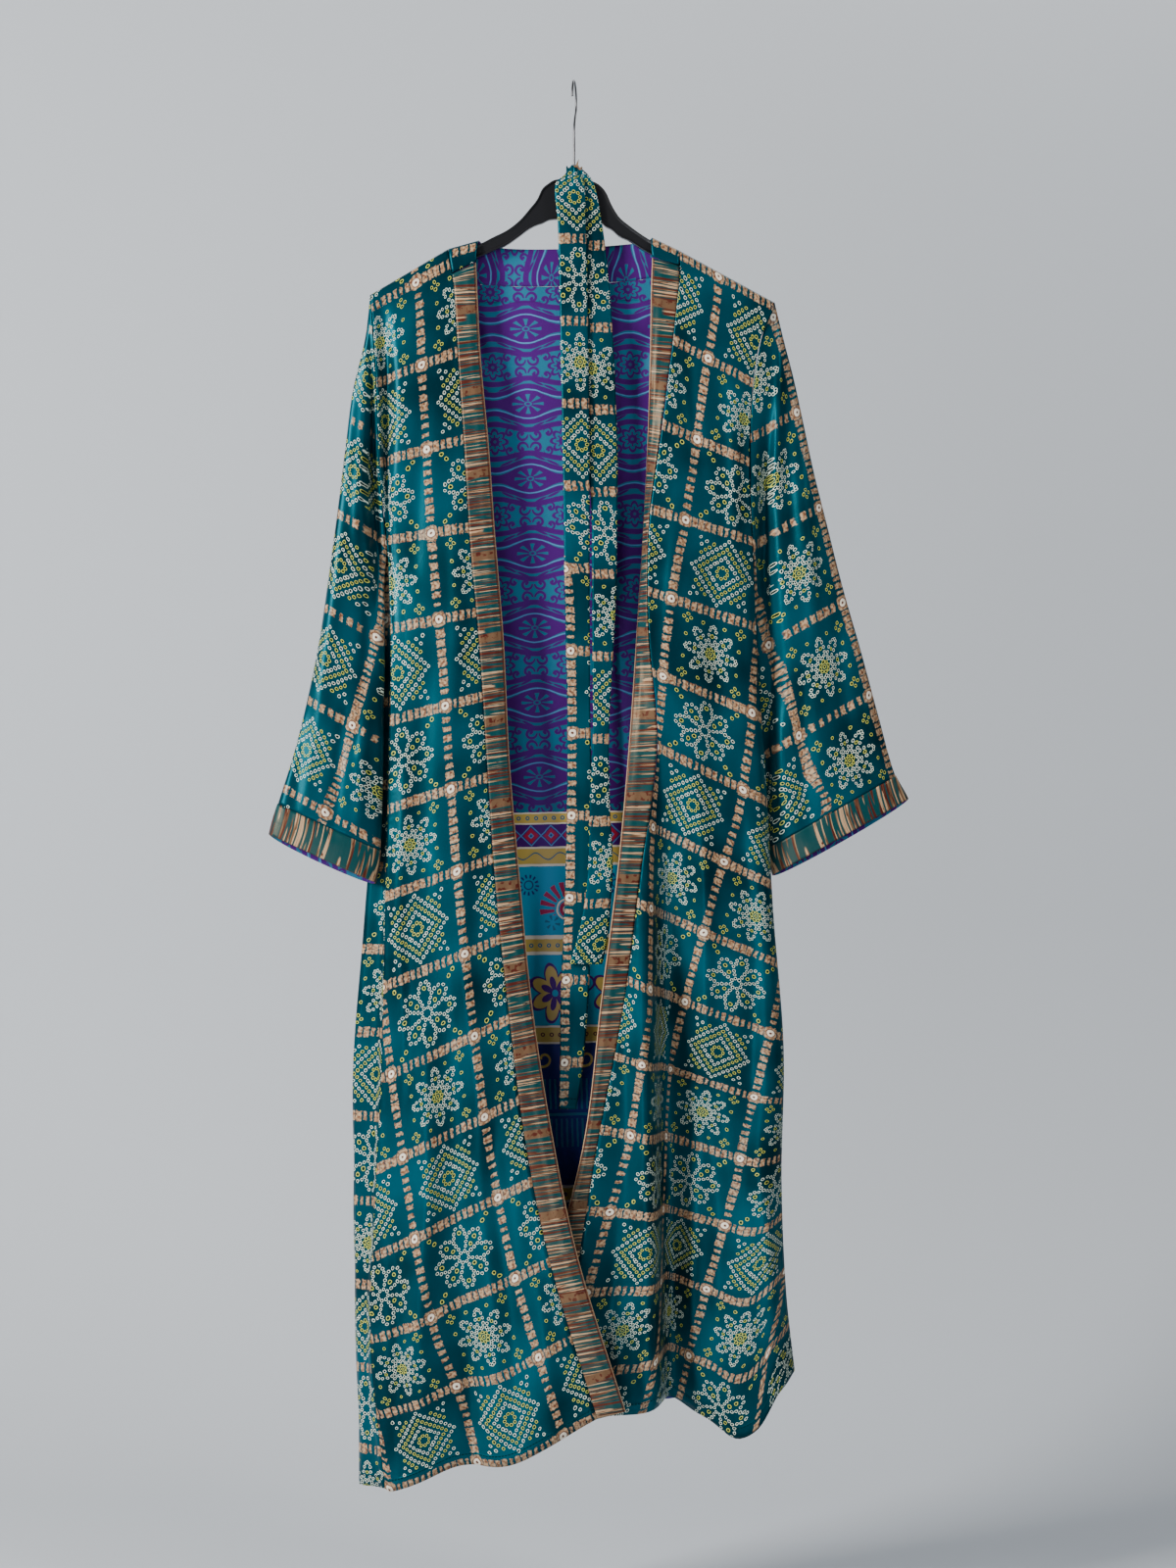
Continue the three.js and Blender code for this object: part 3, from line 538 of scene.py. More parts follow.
def sash_saddle():
    half, back = SADDLE["half"], SADDLE["back"]
    plan = spread([(-half, SADDLE["right"], 0), (-half, 1, 0), (0, back, 0), (half, 1, 0),
                   (half, SADDLE["left"], 0)], np.linspace(0, 1, 33))
    levels = np.linspace(SADDLE["top"], SADDLE["bottom"], 9)
    return np.array([[(x, y, z) for x, y, _ in plan] for z in levels])


# ---- formulas in a shader ----
class Formula:
    """A node group or material in which masks and colours are written as formulas."""

    def __init__(self, tree):
        self.tree = tree

    def node(self, kind, values=(), **settings):
        node = self.tree.nodes.new(kind)
        for key, value in settings.items():
            setattr(node, key, value)
        items = values.items() if isinstance(values, dict) else enumerate(values)
        for key, value in items:
            self.feed(node.inputs[key], value)
        return node

    def feed(self, socket, value):
        if isinstance(value, Number):
            value = value.socket
        if isinstance(value, bpy.types.NodeSocket):
            self.tree.links.new(value, socket)
        else:
            socket.default_value = value

    def maths(self, operation, *values):
        return Number(self, self.node("ShaderNodeMath", values, operation=operation).outputs[0])

    def vector(self, x, y, z=0.0):
        return self.node("ShaderNodeCombineXYZ", (x, y, z)).outputs[0]

    def split(self, vector):
        node = self.node("ShaderNodeSeparateXYZ", (vector,))
        return [Number(self, socket) for socket in node.outputs]

    def vectors(self, operation, *values):
        return self.node("ShaderNodeVectorMath", values, operation=operation).outputs[0]

    def distance(self, a, b):
        node = self.node("ShaderNodeVectorMath", (a, b), operation="DISTANCE")
        return Number(self, node.outputs["Value"])

    def noise(self, vector, scale, detail=1.0, roughness=0.5):
        values = {"Vector": vector, "Scale": scale, "Detail": detail, "Roughness": roughness}
        node = self.node("ShaderNodeTexNoise", values)
        return Number(self, node.outputs[0]), node.outputs[1]

    def chance(self, a, b):
        node = self.node("ShaderNodeTexWhiteNoise", {"Vector": self.vector(a, b)},
                         noise_dimensions="2D")
        return Number(self, node.outputs["Value"])

    def fade(self, value, start, end):
        """0 at start and 1 at end, clamped."""
        values = {"Value": value, "From Min": start, "From Max": end}
        return Number(self, self.node("ShaderNodeMapRange", values, clamp=True).outputs[0])

    def blend(self, share, a, b):
        node = self.node("ShaderNodeMix", (), data_type="RGBA")
        for socket, value in zip((node.inputs[0], node.inputs[6], node.inputs[7]), (share, a, b)):
            self.feed(socket, value)
        return node.outputs[2]


class Number:
    """One value of a formula."""

    def __init__(self, formula, socket):
        self.formula = formula
        self.socket = socket

    def then(self, operation, *others):
        return self.formula.maths(operation, self, *others)

    def __add__(self, other):
        return self.then("ADD", other)

    def __sub__(self, other):
        return self.then("SUBTRACT", other)

    def __rsub__(self, other):
        return self.formula.maths("SUBTRACT", other, self)

    def __mul__(self, other):
        return self.then("MULTIPLY", other)

    def __truediv__(self, other):
        return self.then("DIVIDE", other)

    def __abs__(self):
        return self.then("ABSOLUTE")

    __radd__ = __add__
    __rmul__ = __mul__

    def low(self, other):
        return self.then("MINIMUM", other)

    def high(self, other):
        return self.then("MAXIMUM", other)

    def fract(self):
        return self.then("FRACT")

    def floor(self):
        return self.then("FLOOR")

    def power(self, other):
        return self.then("POWER", other)

    def cos(self):
        return self.then("COSINE")

    def sin(self):
        return self.then("SINE")

    def is_near(self, other, within):
        return self.then("COMPARE", other, within)

    def is_above(self, other):
        return self.then("GREATER_THAN", other)

    def is_below(self, other):
        return self.then("LESS_THAN", other)


def paint(red, green, blue):
    """A linear colour from a dye's screen values."""
    def linear(value):
        value /= 255
        return value / 12.92 if value <= 0.04045 else ((value + 0.055) / 1.055) ** 2.4
    return (linear(red), linear(green), linear(blue), 1.0)


TEAL = paint(0, 32, 41)
TEAL_LIT = paint(0, 66, 80)
TEAL_DEEP = paint(0, 14, 14)
TAN = paint(142, 106, 76)
TAN_LIT = paint(188, 156, 122)
MAROON = paint(98, 54, 38)
CREAM = paint(240, 226, 204)
BAND_TAN = paint(102, 76, 56)
BAND_LIT = paint(182, 148, 114)
BAND_BROWN = paint(76, 30, 26)
BAND_TEAL = paint(0, 62, 66)
RING_WHITE = paint(232, 246, 226)
RING_YELLOW = paint(206, 208, 84)
PURPLE = paint(72, 18, 106)
TURQUOISE = paint(36, 108, 134)
PALE_BLUE = paint(84, 138, 190)
SKY = paint(44, 152, 186)
SUN_YELLOW = paint(206, 176, 84)
RED = paint(168, 34, 58)
NIGHT = paint(34, 48, 112)


def new_group(name, takes, gives):
    tree = bpy.data.node_groups.new(name, "ShaderNodeTree")
    for label, kind in takes:
        tree.interface.new_socket(label, in_out="INPUT", socket_type=f"NodeSocket{kind}")
    for label, kind in gives:
        tree.interface.new_socket(label, in_out="OUTPUT", socket_type=f"NodeSocket{kind}")
    formula = Formula(tree)
    start = tree.nodes.new("NodeGroupInput")
    end = tree.nodes.new("NodeGroupOutput")
    return formula, start.outputs, end.inputs


# ---- the resist-dot print of the outer silk ----
PETAL = dict(dots=7, middle=18.8, long=10, wide=4.1)  # long and wide are from its middle


def petal(turned):
    """Half of one petal's outline of tied dots, along the middle line or turned by 45 degrees."""
    dots = []
    for k in range(PETAL["dots"]):
        angle = math.pi * k / (PETAL["dots"] - 1)
        along = PETAL["middle"] + PETAL["long"] * math.cos(angle)
        across = PETAL["wide"] * math.sin(angle)
        if turned:
            along, across = (along + across) / math.sqrt(2), (along - across) / math.sqrt(2)
        dots.append((along, across))
    return dots


# Each motif as its dots in one eighth of the cell, in mm from the cell's middle.
MOTIFS = [
    {
        "white": petal(False) + petal(True), "fineness of white": 1.12,
        "yellow": [(18.4, 0), (13, 13), (4.8, 0), (3.4, 3.4), (0, 0), (29.5, 12.2),
                   (33.2, 29.2), (29.4, 26), (29.8, 32.6)],
    },
    {
        "white": [(33.5 - 3.72 * k, 3.72 * k) for k in range(5)]
        + [(16.6 - 3.6 * k, 3.6 * k) for k in range(3)] + [(27.8, 23.2), (30.4, 30.4)],
        "yellow": [(25 - 3.57 * k, 3.57 * k) for k in range(4)]
        + [(5.8, 0), (4.1, 4.1), (22.6, 18.9), (26.6, 14.9)],
    },
    {
        "white": [(5.4, 2.2), (9.8, 4.1), (14.2, 5.8), (18.4, 7.8), (21.6, 11.5), (23.4, 16.2),
                  (21.6, 21.6), (22.8, 6.2), (27.2, 5.6), (31.4, 3.0)],
        "yellow": [(10.4, 10.4), (16.2, 16.2), (25.6, 0), (28.2, 28.2), (33.4, 33.4)],
        "fineness of yellow": 0.8,
    },
]


def resist_print():
    f, given, gives = new_group(
        "resist print", [("Place", "Vector")],
        [("Colour", "Color"), ("Gold", "Float"), ("Dots", "Float")])
    place = given["Place"]
    shake = f.vectors("SUBTRACT", f.noise(place, 160, 1)[1], (0.5, 0.5, 0.5))
    shaken = f.vectors("ADD", place, f.vectors("MULTIPLY", shake, (0.0024, 0.0024, 0)))
    u, v, _ = f.split(f.vectors("SCALE", shaken))
    u, v = u * 1000, v * 1000
    column, row = u / CELL[0], v / CELL[1]
    x = abs((column.fract() - 0.5) * CELL[0])
    y = abs((row.fract() - 0.5) * CELL[1])
    kind = (row.floor() / 3).fract() * 3
    chosen = [kind.is_near(k, 0.5) for k in range(3)]
    spot = f.vector(x.high(y), x.low(y))
    rings, cores = {}, []
    for dye in ("white", "yellow"):
        nearest = None
        for motif, is_chosen in zip(MOTIFS, chosen):
            least = None
            for along, across in motif[dye]:
                apart = f.distance(spot, (along, across, 0))
                least = apart if least is None else least.low(apart)
            part = least * is_chosen * motif.get(f"fineness of {dye}", 1)
            nearest = part if nearest is None else nearest + part
        rings[dye] = f.fade(nearest, 1.86, 1.62) * f.fade(nearest, 1.08, 1.32)
        cores.append(f.fade(nearest, 1.32, 1.08))
    to_line_x, to_line_y = CELL[0] / 2 - x, CELL[1] / 2 - y
    wobble = (f.noise(place, 420, 1)[0] - 0.5) * 3.4

    def blobs(along, line, pitch, half_length, across, half_width):
        cell = along / pitch
        size = f.chance(cell.floor(), line.floor())
        off = abs((cell.fract() - 0.5) * pitch)
        long_enough = f.fade(size * (half_length * 0.9) + half_length * 0.55 - off + wobble, -0.3, 0.4)
        return long_enough * f.fade(half_width - across + wobble + size * 0.8, -0.2, 0.4)

    level_line = blobs(u, row + 0.5, CELL[0] / 14, 2.35, to_line_y, 4.5)
    upright_line = blobs(v, column + 0.5, CELL[1] / 9, 2.9, to_line_x, 3.9)
    corner = (to_line_x.power(4) + to_line_y.power(4)).power(0.25)
    round_off = (to_line_x * to_line_x + to_line_y * to_line_y).power(0.5)
    lines = level_line.high(upright_line) * f.fade(corner, 6.8, 7.4)
    rosette = f.fade(corner + wobble * 0.5, 7.2, 6.5)
    gold = lines.high(rosette)
    spots = f.noise(place, 330, 2)[0]
    teal = f.blend(f.fade(f.noise(place, 9, 2)[0], 0.36, 0.66), TEAL, TEAL_LIT)
    tan = f.blend(f.fade(spots, 0.4, 0.54), TAN_LIT, TAN)
    tan = f.blend(f.fade(spots, 0.57, 0.66), tan, MAROON)
    tan = f.blend(f.fade(round_off, 5.6, 4.4), tan, MAROON)
    cream = f.fade(round_off, 4.4, 3.6) * f.fade(round_off, 1.0, 1.7)
    tan = f.blend(cream, tan, CREAM)
    colour = f.blend(gold, teal, tan)
    colour = f.blend(cores[0].high(cores[1]), colour, TEAL_DEEP)
    colour = f.blend(rings["yellow"], colour, RING_YELLOW)
    colour = f.blend(rings["white"], colour, RING_WHITE)
    f.feed(gives["Colour"], colour)
    f.feed(gives["Gold"], gold)
    f.feed(gives["Dots"], rings["yellow"].high(rings["white"]))
    return f.tree


# ---- the lining: eyes and flowers, with borders across below the waist ----
EYE = dict(x=-46, z=-411, wide=72, tall=78)
BORDER_TOP = -760
# How far below the top border each stripe starts, in mm, and its dye.
BORDERS = [
    (0, CREAM), (1.5, SUN_YELLOW), (11, CREAM), (12.5, PURPLE), (36, CREAM), (38, SUN_YELLOW),
    (54, CREAM), (56.5, SKY), (129, CREAM), (133, SUN_YELLOW), (146, CREAM), (149.5, SKY),
    (224, CREAM), (226, SUN_YELLOW), (241, CREAM), (243, NIGHT), (316, TURQUOISE), (319, NIGHT),
    (392, CREAM), (395, SUN_YELLOW), (408, CREAM), (411, NIGHT),
]


def lining_print():
    f, given, gives = new_group("lining print", [("Place", "Vector")], [("Colour", "Color")])
    wavy = f.vectors("SUBTRACT", f.noise(given["Place"], 110, 1)[1], (0.5, 0.5, 0.5))
    place = f.vectors("ADD", given["Place"], f.vectors("MULTIPLY", wavy, (0.0012, 0.0012, 0)))
    x, z, _ = f.split(place)
    x, z = x * 1000 - EYE["x"], z * 1000 - EYE["z"]
    x = x + z * 0.03
    z = z - x * 0.02
    full_x = ((x / EYE["wide"] + 0.5).fract() - 0.5) * EYE["wide"]
    across = abs(full_x)
    up = abs(((z / EYE["tall"] + 0.5).fract() - 0.5) * EYE["tall"])

    def polar(dx, dz, stretch=1.0):
        dz = dz * stretch
        return (dx * dx + dz * dz).power(0.5), f.maths("ARCTAN2", dz, dx)

    def ring(value, middle, half):
        return f.fade(abs(value - middle), half + 0.35, half - 0.35)

    eye_side = (x * (2 * math.pi / EYE["wide"])).cos() * 0.5 + 0.5
    far_up = EYE["tall"] / 2 - up
    eye = up - eye_side * 10.5
    wave = up - eye_side * 8.7
    outer_wave = up - eye_side * 6
    purple = f.fade(eye, 4.4, 3.8).high(ring(wave, 9.8, 2.7)).high(ring(outer_wave, 20.8, 2.8))
    colour = f.blend(purple, TURQUOISE, PURPLE)
    pale = ring(wave, 6.2, 0.6)
    colour = f.blend(pale, colour, PALE_BLUE)
    # scrolls between the eyes, in mirrored pairs
    for place_x, place_z, reach, turn in ((7.5, 32, 7.4, 0.95), (20, 29.5, 5.6, -0.8)):
        off, angle = polar(across - place_x, up - place_z)
        scroll = ring(off - angle * turn, 3.9, 1.5) * f.fade(off, reach, reach - 0.7)
        scroll = scroll.high(f.fade(off, 1.8, 1.3))
        colour = f.blend(scroll, colour, PURPLE)
    # slanting leaves in the waves
    for place_x, place_z in ((10, 22), (24, 16.5)):
        dx, dz = across - place_x, up - place_z
        off = ((dx + dz) * (dx + dz) * 0.12 + (dx * 0.35 + dz) * (dx * 0.35 + dz)).power(0.5)
        colour = f.blend(f.fade(off, 1.7, 1.2), colour, PURPLE)
    # eight-petalled flower in each eye
    off, angle = polar(across * 0.78, up, 1.25)
    petals = f.fade((angle * 8).cos() + off * 0.045, 0.7, 0.95) * f.fade(off, 13.2, 12.4)
    colour = f.blend(petals * f.fade(off, 3.6, 4.3), colour, TURQUOISE)
    colour = f.blend(ring(off, 2.4, 0.7), colour, TURQUOISE)
    # outlined flower half a step further
    off, angle = polar(EYE["wide"] / 2 - across, far_up, 1.05)
    edge = off - abs((angle * 4).cos()) * 4.4
    colour = f.blend(f.fade(edge, 10.4, 9.8), colour, TURQUOISE)
    colour = f.blend(ring(edge, 8.6, 1.7).high(ring(off, 3.4, 1.7)), colour, PURPLE)
    colour = f.blend(f.fade(off, 8.2, 7.6) * (angle * 8).cos().is_above(0.6), colour, PURPLE)

    drop = (BORDER_TOP - EYE["z"]) - z
    for start, dye in BORDERS:
        colour = f.blend(drop.is_above(start), colour, dye)

    def band(start, end):
        return drop.is_above(start) * drop.is_below(end)

    def repeat(width, shift=0.0):
        return ((x / width + shift).fract() - 0.5) * width

    for middle, dye in ((6, TURQUOISE), (139.5, TURQUOISE), (233.5, MAROON), (401.5, PURPLE)):
        off, _ = polar(repeat(9.2), drop - middle)
        colour = f.blend(f.fade(off, 2.5, 2.0), colour, dye)
        colour = f.blend(f.fade(off, 1.1, 0.8), colour, SUN_YELLOW)
    lozenge = abs(repeat(21)) + abs(drop - 24.3)
    inside = band(13, 35.5)
    colour = f.blend(ring(lozenge, 10.6, 0.8) * inside, colour, PALE_BLUE)
    colour = f.blend(f.fade(lozenge, 8.6, 8.0), colour, RED)
    colour = f.blend(f.fade(lozenge, 3.6, 3.0), colour, PALE_BLUE)
    colour = f.blend(f.fade(lozenge, 1.8, 1.3), colour, NIGHT)
    vine = drop - 46 - (x * (2 * math.pi / 26)).sin() * 3.4
    colour = f.blend(ring(vine, 0, 0.7) * band(38, 54), colour, TURQUOISE)
    # fans and suns on the sky stripe
    off, angle = polar(repeat(92, 0.23), drop - 102)
    fan = f.fade(off, 29, 28.2) * f.fade(off, 13, 13.8) * (angle * 17).sin().is_above(-0.1)
    fan = fan * drop.is_below(108)
    colour = f.blend(fan, colour, RED)
    colour = f.blend(ring(off, 10.4, 0.9), colour, CREAM)
    colour = f.blend(f.fade(off, 8.4, 7.8), colour, RED)
    colour = f.blend(f.fade(off, 4.6, 4.0), colour, CREAM)
    colour = f.blend(f.fade(off, 1.9, 1.4), colour, RED)
    off, angle = polar(repeat(92, 0.66), drop - 76)
    sun = ring(off, 4.4, 0.6).high(ring(off, 9, 2.0) * (angle * 13).sin().is_above(0.2))
    colour = f.blend(sun * band(57, 129), colour, NIGHT)
    off, angle = polar(repeat(46, 0.3), drop - 116)
    leaf = ring(off, 5.4, 2.6) * (angle * 6).sin().is_above(0.35)
    colour = f.blend(leaf * band(57, 129), colour, TURQUOISE)
    # lotus flowers on the lower sky stripe
    off, angle = polar(repeat(66, 0.35), drop - 190, 0.86)
    edge = off - abs((angle * 3.5).cos()) * 11
    colour = f.blend(f.fade(edge, 17.5, 16.9) * band(150, 223.5), colour, PURPLE)
    colour = f.blend(f.fade(edge, 14.6, 14) * band(150, 223.5), colour, SUN_YELLOW)
    colour = f.blend(f.fade(edge, 5, 4.5), colour, PURPLE)
    colour = f.blend(f.fade(off, 3.4, 2.9), colour, SKY)
    off, angle = polar(repeat(66, 0.85), drop - 178)
    curl = ring(off - angle * 1.5, 7.5, 1.2) * f.fade(off, 13, 12)
    colour = f.blend(curl * band(150, 223.5), colour, PURPLE)
    # spirals on the dark stripe
    off, angle = polar(repeat(44, 0.6), drop - 259)
    colour = f.blend(ring(off - angle * 1.15, 6.3, 1.3) * f.fade(off, 11, 10.4), colour, SUN_YELLOW)
    ticks = (x * (2 * math.pi / 5.5)).sin().is_above(0.4)
    colour = f.blend(ticks * band(280, 312).high(band(322, 352)), colour, TURQUOISE)
    f.feed(gives["Colour"], colour)
    return f.tree


# ---- the gold border of the bands and cuffs ----
def border_stripes():
    f, given, gives = new_group("border stripes", [("Place", "Vector")],
                                [("Colour", "Color"), ("Ribs", "Float")])
    u, v, _ = f.split(given["Place"])
    lean = v + u * 0.06
    streaks = f.noise(f.vector(u * 11, lean * 300), 1, 1)[0]
    fine = f.noise(f.vector(u * 22 + 9, lean * 640), 1, 1)[0]
    threads = f.noise(f.vector(u * 9 + 4, lean * 290), 1, 0)[0]
    value = streaks * 0.7 + fine * 0.3
    colour = f.blend(f.fade(value, 0.46, 0.49), BAND_BROWN, BAND_TAN)
    colour = f.blend(f.fade(value, 0.52, 0.56), colour, BAND_LIT)
    colour = f.blend(f.fade(abs(fine - 0.5), 0.03, 0.015), colour, BAND_BROWN)
    colour = f.blend(f.fade(abs(threads - 0.48), 0.085, 0.07), colour, BAND_TEAL)
    # broad plain blocks with maroon stains
    block = v * (1000 / CELL[1])
    shift = (f.noise(f.vector(u * 30, v * 8), 1, 0)[0] - 0.5) * 0.06
    broad = f.fade(abs(block.fract() - 0.5 + shift), 0.06, 0.045) * f.fade(u, 0.15, 0.12)
    stain = f.fade(f.noise(given["Place"], 190, 2)[0], 0.54, 0.62)
    colour = f.blend(broad, colour, f.blend(stain, BAND_TAN, BAND_BROWN))
    f.feed(gives["Colour"], colour)
    f.feed(gives["Ribs"], value)
    return f.tree


def silk_surface():
    """Height of the weave, of soft puckers beside seams and of a hem's stitches."""
    f, given, gives = new_group(
        "silk surface", [("Place", "Vector"), ("Edges", "Vector")],
        [("Height", "Float"), ("Stitches", "Float")])
    u, v, _ = f.split(given["Place"])
    side, end, _ = f.split(given["Edges"])
    weave = f.noise(f.vector(u * 900, v * 260), 1, 1)[0] * 0.05
    wrinkles = f.noise(f.vector(u * 24, v * 7), 1, 2, 0.45)[0] * 1.1
    pucker = f.noise(f.vector(u * 18, v * 75), 1, 1)[0] * 0.8 * f.fade(side, 0.016, 0.0)
    hem_pucker = f.noise(f.vector(u * 75, v * 18), 1, 1)[0] * 0.8 * f.fade(end, 0.022, 0.004)
    hem_step = f.fade(end, 0.0125, 0.0115) * 0.25
    line = f.fade(abs(end - 0.0108), 0.0006, 0.0003)
    stitches = line * (u * 290).fract().is_below(0.7)
    height = weave + wrinkles + pucker + hem_pucker + hem_step - stitches * 0.3
    f.feed(gives["Height"], height)
    f.feed(gives["Stitches"], stitches)
    return f.tree


GROUP_BUILDERS = (resist_print, lining_print, border_stripes, silk_surface)
GROUPS = {build.__name__: build() for build in GROUP_BUILDERS}


def cloth_maps(f):
    place = f.node("ShaderNodeUVMap", uv_map="print").outputs[0]
    edges = f.node("ShaderNodeUVMap", uv_map="edges").outputs[0]
    return place, edges


def use(f, name, **values):
    node = f.node("ShaderNodeGroup", (), node_tree=GROUPS[name])
    for label, value in values.items():
        f.feed(node.inputs[label], value)
    return node.outputs


SILK_SHINE = 0.34


def new_material(name, roughness, sheen=0.0, tint=(1, 1, 1, 1), metallic=0.0, coat=0.0):
    material = bpy.data.materials.new(name)
    material.use_nodes = True
    shader = material.node_tree.nodes["Principled BSDF"]
    shader.inputs["Roughness"].default_value = roughness
    shader.inputs["Metallic"].default_value = metallic
    shader.inputs["Coat Weight"].default_value = coat
    shader.inputs["Sheen Weight"].default_value = sheen
    shader.inputs["Sheen Roughness"].default_value = 0.35
    shader.inputs["Sheen Tint"].default_value = tint
    if sheen:
        shader.inputs["Specular Tint"].default_value = tint
        shader.inputs["Specular IOR Level"].default_value = SILK_SHINE
    return material, Formula(material.node_tree), shader


def finish_silk(f, shader, colour, height):
    bump = f.node("ShaderNodeBump", {"Strength": 1.0, "Distance": 0.0011, "Height": height})
    f.feed(shader.inputs["Base Color"], colour)
    f.feed(shader.inputs["Normal"], bump.outputs[0])


def printed_silk():
    material, f, shader = new_material("printed silk", 0.33, 0.04, paint(30, 206, 232))
    place, edges = cloth_maps(f)
    print_ = use(f, "resist_print", Place=place)
    surface = use(f, "silk_surface", Place=place, Edges=edges)
    colour = f.blend(surface["Stitches"], print_["Colour"], TEAL_DEEP)
    height = Number(f, surface["Height"]) + Number(f, print_["Dots"]) * 0.05
    finish_silk(f, shader, colour, height)
    return material


def lining_silk(name, turned=False):
    material, f, shader = new_material(name, 0.42, 0.04, paint(150, 130, 235))
    place, edges = cloth_maps(f)
    x, _, z = f.split(f.node("ShaderNodeTexCoord").outputs["Object"])
    flat = f.vector(z, x) if turned else f.vector(x, z)
    surface = use(f, "silk_surface", Place=place, Edges=edges)
    colour = use(f, "lining_print", Place=flat)["Colour"]
    finish_silk(f, shader, colour, surface["Height"])
    return material


def gold_border():
    material, f, shader = new_material("gold border", 0.34, 0.05, paint(240, 205, 160))
    place, edges = cloth_maps(f)
    stripes = use(f, "border_stripes", Place=place)
    surface = use(f, "silk_surface", Place=place, Edges=edges)
    side, _, _ = f.split(edges)
    piping = f.fade(side, 0.0009, 0.0006)
    seam = f.fade(abs(side - 0.0019), 0.0008, 0.0004)
    colour = f.blend(piping, stripes["Colour"], BAND_LIT)
    colour = f.blend(seam * 0.8, colour, BAND_BROWN)
    height = Number(f, surface["Height"]) + Number(f, stripes["Ribs"]) * 0.25 - seam * 0.3
    finish_silk(f, shader, colour, height)
    return material


def plain(name, colour, roughness, metallic=0.0, coat=0.0):
    material, _, shader = new_material(name, roughness, metallic=metallic, coat=coat)
    shader.inputs["Base Color"].default_value = colour
    return material


def one_sided(material):
    """Lets the robe be seen from behind the backdrop."""
    f = Formula(material.node_tree)
    shader = material.node_tree.nodes["Principled BSDF"]
    behind = f.node("ShaderNodeNewGeometry").outputs["Backfacing"]
    clear = f.node("ShaderNodeBsdfTransparent").outputs[0]
    both = f.node("ShaderNodeMixShader", (behind, shader.outputs[0], clear))
    f.feed(material.node_tree.nodes["Material Output"].inputs["Surface"], both.outputs[0])
    return material


MATERIALS = {
    "printed": printed_silk(),
    "lining": lining_silk("lining silk"),
    "neck lining": lining_silk("neck lining silk", turned=True),
    "border": gold_border(),
    "plastic": plain("black plastic", paint(20, 20, 23), 0.32, coat=0.2),
    "wire": plain("steel wire", paint(96, 96, 98), 0.34, metallic=1.0),
}


# ---- making the pieces ----
def new_piece(name, mesh, node, materials):
    piece = bpy.data.objects.new(name, mesh)
    bpy.context.collection.objects.link(piece)
    for material in materials:
        mesh.materials.append(MATERIALS[material])
    for polygon in mesh.polygons:
        polygon.use_smooth = True
    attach(piece, "root")
    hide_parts(node)
    return piece


def cloth_mesh(name, grid, uv, edges, outward, ring):
    """A grid of points in mm as a mesh in metres that faces outward, with two maps."""
    rows, columns = grid.shape[:2]
    work = bmesh.new()
    for layer in ("print", "edges"):
        work.loops.layers.uv.new(layer)
    bmesh.ops.create_grid(work, x_segments=columns - 1, y_segments=rows - 1, size=1)
    mesh = bpy.data.meshes.new(name)
    work.to_mesh(mesh)
    work.free()
    spots = np.empty(len(mesh.vertices) * 3)
    mesh.vertices.foreach_get("co", spots)
    spots = spots.reshape(-1, 3)
    column = np.rint((spots[:, 0] + 1) / 2 * (columns - 1)).astype(int)
    row = np.rint((spots[:, 1] + 1) / 2 * (rows - 1)).astype(int)
    mesh.vertices.foreach_set("co", (grid[row, column] * MM).ravel())
    corners = np.empty(len(mesh.loops), dtype=np.int32)
    mesh.loops.foreach_get("vertex_index", corners)
    for layer, values in (("print", uv), ("edges", edges)):
        flat = (values[row[corners], column[corners]] * MM).ravel()
        mesh.uv_layers[layer].data.foreach_set("uv", flat)
    work = bmesh.new()
    work.from_mesh(mesh)
    if ring:
        bmesh.ops.remove_doubles(work, verts=work.verts, dist=1e-6)
    work.normal_update()
    if ring:
        centre = grid.reshape(-1, 3).mean(axis=0) * MM
        facing = sum(
            face.normal.y * (face.calc_center_median().y - centre[1]) for face in work.faces)
    else:
        facing = sum(face.normal.y for face in work.faces) * outward
    if facing < 0:
        bmesh.ops.reverse_faces(work, faces=work.faces)
    work.to_mesh(mesh)
    work.free()
    mesh.update()
    return mesh


def declare(grid):
    """Works out the area of each strip between rows and the length down each column, and uses neither.
    """
    grid = grid * MM
    a, b, c, d = grid[:-1, :-1], grid[:-1, 1:], grid[1:, :-1], grid[1:, 1:]
    strips = (np.linalg.norm(np.cross(b - a, c - a), axis=2).sum(axis=1)
              + np.linalg.norm(np.cross(b - d, c - d), axis=2).sum(axis=1)) / 2
    down = run_down(grid)


def sew(name, node, grid, uv, edges, thickness, materials,
        outward=-1, ring=False):
    mesh = cloth_mesh(name, grid, uv, edges, outward, ring)
    piece = new_piece(name, mesh, node, materials)
    wall = piece.modifiers.new("thickness", "SOLIDIFY")
    wall.thickness = thickness * MM
    wall.offset = 0
    wall.use_even_offset = True
    wall.material_offset = 1 if len(materials) > 1 else 0
    wall.material_offset_rim = 0
    declare(grid)
    return piece


NO_END = 60  # distance to give a piece whose ends have no hem


def side_and_end(grid):
    """Distance from the nearer side edge, and from the last row, at each point."""
    across, down = run_across(grid), run_down(grid)
    return np.stack([np.minimum(across, across[:, -1:] - across), down[-1:] - down], axis=2)


def body_print(name, grid, hidden=0.0, drop=0.0):
    """Place of the print on a body panel: across from its edge, and down from a crossing."""
    lie = PRINT[name]
    across = run_across(grid) - lie["edge"]
    column = grid.shape[1] // 4
    down = run_down(grid)[:, column]
    level = np.interp(-lie["level"], -grid[:, column, 2], down)
    down = (down - level)[:, None] - drop * across
    along = np.where(down < 0, down / lie["above"], down / lie["below"])
    along = along * lie["sign"] + lie["cells"] * CELL[1]
    return np.stack([across + hidden, along], axis=2)


